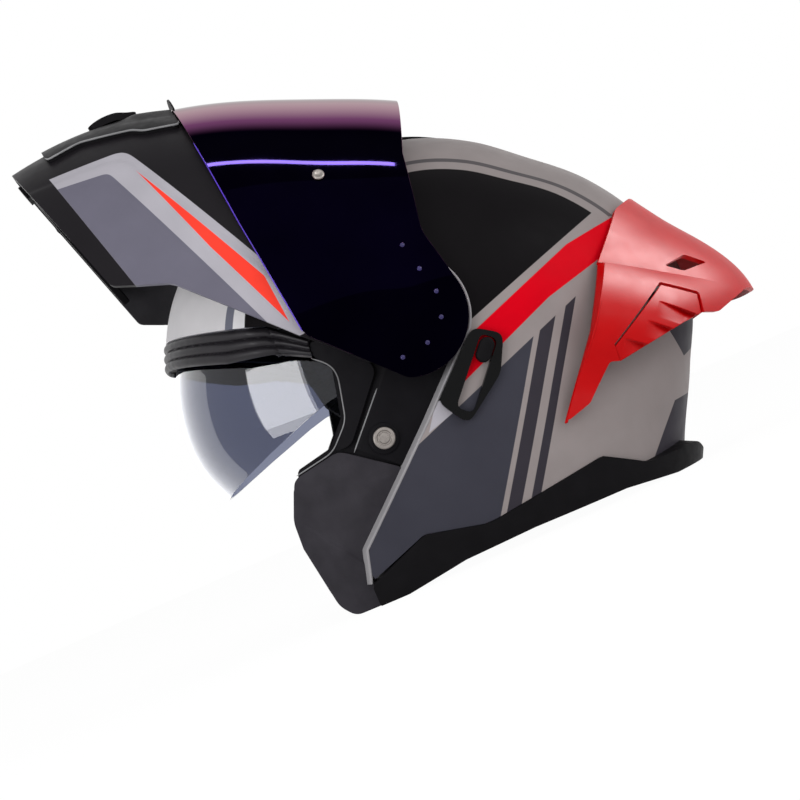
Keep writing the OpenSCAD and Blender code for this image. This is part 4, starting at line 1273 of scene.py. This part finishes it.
# The grey bead along the vent cover's lower edge is a painted highlight on its chamfer
cover_edge = soft_corners(VENT_COVER, 3)
bead = edge_bead(CHIN, cover_edge[cover_edge[:, 0] > -200], cover_lift, 0.6)
add_piece("cover_highlight_bead", bead, "chin_bar", "black_trim", HIGHLIGHT_BEAD_GREY)


def meet_line(body, a, b, tilt, off):
    """Angle at which a body's ring at each tilt and offset meets a side-view line, by bisection."""
    beside = line_field(a, b)

    def side_of(angle):
        return beside(body.at(angle, tilt, off))
    low = np.full(np.broadcast(tilt, off).shape, math.radians(190))
    high = np.full(low.shape, math.radians(262))
    for _ in range(40):
        middle = (low + high) / 2
        same = (side_of(middle) > 0) == (side_of(low) > 0)
        low, high = np.where(same, middle, low), np.where(same, high, middle)
    return (low + high) / 2


def chin_rim():
    """Strip that closes the bottom of the chin bar: along the tilt, and in by 25 mm from the wall."""
    tilt = np.radians(np.linspace(-50, 50, 201))[:, None]
    off = np.linspace(-4.4, -29.5, 15)[None, :]
    tilt, off = np.broadcast_arrays(tilt, off)
    points = CHIN.at(meet_line(CHIN, RIM_INNER, RIM_OUTER, tilt, off), tilt, off)
    return points.reshape(-1, 3), flipped(grid_faces(*points.shape[:2]))


thicken(add_piece("chin_rim", chin_rim(), "chin_bar", "black_trim", BLACK_TRIM, "chin_rim_trim"), 5.0, 1.0)

# Face shield
shield = skin(VISOR, within(VISOR_OUTLINE, 4), even(-90, 270, 361), even(-90, 90, 281))
thicken(add_piece("mirror_shield", shield, "face_shield", "shield_mirror", SHIELD, "face_shield"), 2.3, 0.3)


def shield_lip():
    """Thin lip off the lower edge of the shield: up to 9 mm high in the middle, nothing 34 mm aside."""
    tilt = np.radians(even(-24, 24, 121))[:, None]
    across = VISOR.half * np.sign(tilt) * np.abs(np.sin(tilt)) ** (2 / SHAPE_Q)
    off = 0.3 + 9.0 * np.sqrt(np.clip(1 - (across / 34) ** 2, 0, 1)) * np.linspace(-0.2, 1, 9)
    tilt, off = np.broadcast_arrays(tilt, off)
    points = VISOR.at(meet_line(VISOR, (-100.0, 81.2), (-240.0, 75.0), tilt, off), tilt, off)
    return points.reshape(-1, 3), grid_faces(*points.shape[:2])


thicken(add_piece("shield_lip", shield_lip(), "face_shield", "shield_mirror", BLACK_TRIM), 0.9, 0.2)
# The violet bead along the shield's lower edge is a painted reflection: the violet glint of the mirror coat
# on that edge
edge_path = [(-160, 77.4), (-150, 77.9), (-104, 79.9), (-34, 85.2)]
edge_line = edge_bead(VISOR, edge_path, level(-0.4), 0.4)
add_piece("shield_edge_reflection", edge_line, "face_shield", "shield_mirror", EDGE_VIOLET_REFLECTION)
DOTS = [(-53.8, 154.7), (-38.0, 157.3), (-22.9, 160.2), (-9.0, 156.5), (0.4, 143.7), (1.9, 128.1)]
STUD = lathed([(1.3, -0.6), (1.3, 0.2), (1.0, 0.45), (0, 0.5)], 24)
studs = joined(*[on_side(STUD, VISOR, *at) for at in DOTS])
add_piece("shield_studs", both(studs), "face_shield", "shield_mirror", STUD_VIOLET)
PIN = lathed([(0, -0.2), (3.4, -0.2), (3.4, 0.9), (3.0, 1.35), (1.9, 1.45), (1.6, 1.1), (0, 1.05)], 48)
pin = on_side(PIN, VISOR, *SHIELD_PIN)
add_piece("shield_pin", both(pin), "face_shield", "steel", STEEL, "visor_pins")

# Nodes that keep their shape
KEPT = [
    (STEEL, ("hinge_posts", "sun_visor_pins", "strap_rivets")),
    (STEEL_DARK, ("hinge_arm_left", "hinge_arm_right", "latch_forks", "buckle_tongue")),
    (BLACK_TRIM, ("visor_stubs", "visor_hubs", "sun_visor_bosses", "buckle_body", "release_button")),
    (FOAM, ("impact_liner",)),
    (BUTTON_RED, ("buckle_lever",)),
]
for finish, names in KEPT:
    for name in names:
        mesh = frame["nodes"][name].data
        mesh.materials.clear()
        mesh.materials.append(finish)


# Stage
def light_path_share(tree):
    """1 for rays that see the background: from the camera, off gloss and through glass."""
    path = tree.nodes.new("ShaderNodeLightPath").outputs
    total = path["Is Camera Ray"]
    for name in ("Is Glossy Ray", "Is Transmission Ray"):
        total = add_node(tree, "ShaderNodeMath", {0: total, 1: path[name]}, operation="MAXIMUM").outputs[0]
    return total


def stage_floor():
    """White floor, 12 m square, that keeps a faint shadow."""
    mesh = bpy.data.meshes.new("floor")
    mesh.from_pydata([(-6, -6, 0), (6, -6, 0), (6, 6, 0), (-6, 6, 0)], [], [(0, 1, 2, 3)])
    floor = bpy.data.objects.new("floor", mesh)
    scene.collection.objects.link(floor)
    material = bpy.data.materials.new("floor_white")
    material.use_nodes = True
    tree = material.node_tree
    tree.nodes.clear()
    matt = add_node(tree, "ShaderNodeBsdfDiffuse", {"Color": (0.9, 0.9, 0.9, 1)}).outputs[0]
    glow = add_node(tree, "ShaderNodeEmission", {"Color": (1, 1, 1, 1), "Strength": 1.03}).outputs[0]
    share = {0: light_path_share(tree), 1: 0.94}
    share = add_node(tree, "ShaderNodeMath", share, operation="MULTIPLY").outputs[0]
    mix = add_node(tree, "ShaderNodeMixShader", {0: share, 1: matt, 2: glow}).outputs[0]
    add_node(tree, "ShaderNodeOutputMaterial", {0: mix})
    mesh.materials.append(material)


def stage_world(fill=0.32):
    """White behind everything that the camera, gloss and glass see; a softer fill for the rest."""
    world = bpy.data.worlds.new("studio")
    scene.world = world
    world.use_nodes = True
    tree = world.node_tree
    back = tree.nodes["Background"]
    strength = add_node(tree, "ShaderNodeMapRange", {0: light_path_share(tree), 3: fill, 4: 1.0}).outputs[0]
    tree.links.new(strength, back.inputs["Strength"])
    back.inputs["Color"].default_value = (1, 1, 1, 1)


def softbox(name, at, aim, size, power):
    """Rectangular lamp at a point, facing another; power in watts."""
    data = bpy.data.lights.new(name, "AREA")
    data.shape = "RECTANGLE"
    data.size, data.size_y = size
    data.energy = power
    lamp = bpy.data.objects.new(name, data)
    way = Vector(aim) - Vector(at)
    lamp.matrix_world = Matrix.Translation(at) @ way.to_track_quat("-Z", "Y").to_matrix().to_4x4()
    scene.collection.objects.link(lamp)
    return lamp


def only_for(lamp, *names):
    """Let a lamp light only the named objects."""
    shown = bpy.data.collections.new(f"lit_by_{lamp.name}")
    for name in names:
        shown.objects.link(bpy.data.objects[name])
    lamp.light_linking.receiver_collection = shown


def gloss_lamp(name, at, aim, size, power, *names):
    """Softbox that only shows as a reflection, in the named objects."""
    lamp = softbox(name, at, aim, size, power)
    lamp.visible_diffuse = False
    lamp.visible_transmission = False
    only_for(lamp, *names)


def strip_light(start, stop, aim, width, power):
    """Narrow lamp between two points, facing a third."""
    start, stop, aim = Vector(start), Vector(stop), Vector(aim)
    middle = (start + stop) / 2
    lamp = softbox("strip_light", middle, aim, ((stop - start).length, width), power)
    along = (stop - start).normalized()
    back = (middle - aim).normalized()
    back = (back - along * back.dot(along)).normalized()
    turn = Matrix((along, back.cross(along), back)).transposed().to_4x4()
    lamp.matrix_world = Matrix.Translation(middle) @ turn
    return lamp


stage_floor()
stage_world()
MIDDLE = (0.0, 0.0, 0.16)
softbox("key_box", (0.3, -1.4, 1.1), MIDDLE, (1.5, 1.4), 6.5)
softbox("front_box", (-1.06, -1.08, 0.29), (-0.1, -0.08, 0.13), (0.8, 1.05), 12)
softbox("back_box", (1.3, -0.8, 0.6), MIDDLE, (0.9, 0.9), 8)
strip = strip_light((-0.09, -0.3827, 1.259), (0.47, -0.395, 1.06), (-0.03, -0.1, 0.24), 0.042, 44)
only_for(strip, "mirror_shield")
gloss_lamp("gloss_box", (1.35, -0.31, 0.7), (0.1, -0.09, 0.11), (0.85, 0.9), 115,
           "spoiler", "spoiler_walls", "louvre_left", "louvre_right")
gloss_lamp("lens_box", (-0.436, -0.43, 0.186), (-0.1, -0.08, 0.13), (0.28, 0.368), 2.7, "smoke_lens")
gloss_lamp("lens_card", (-0.261, 0.079, 0.14), (-0.145, -0.045, 0.14), (0.28, 0.27), 0.5, "smoke_lens")

scene.view_settings.view_transform = "Standard"
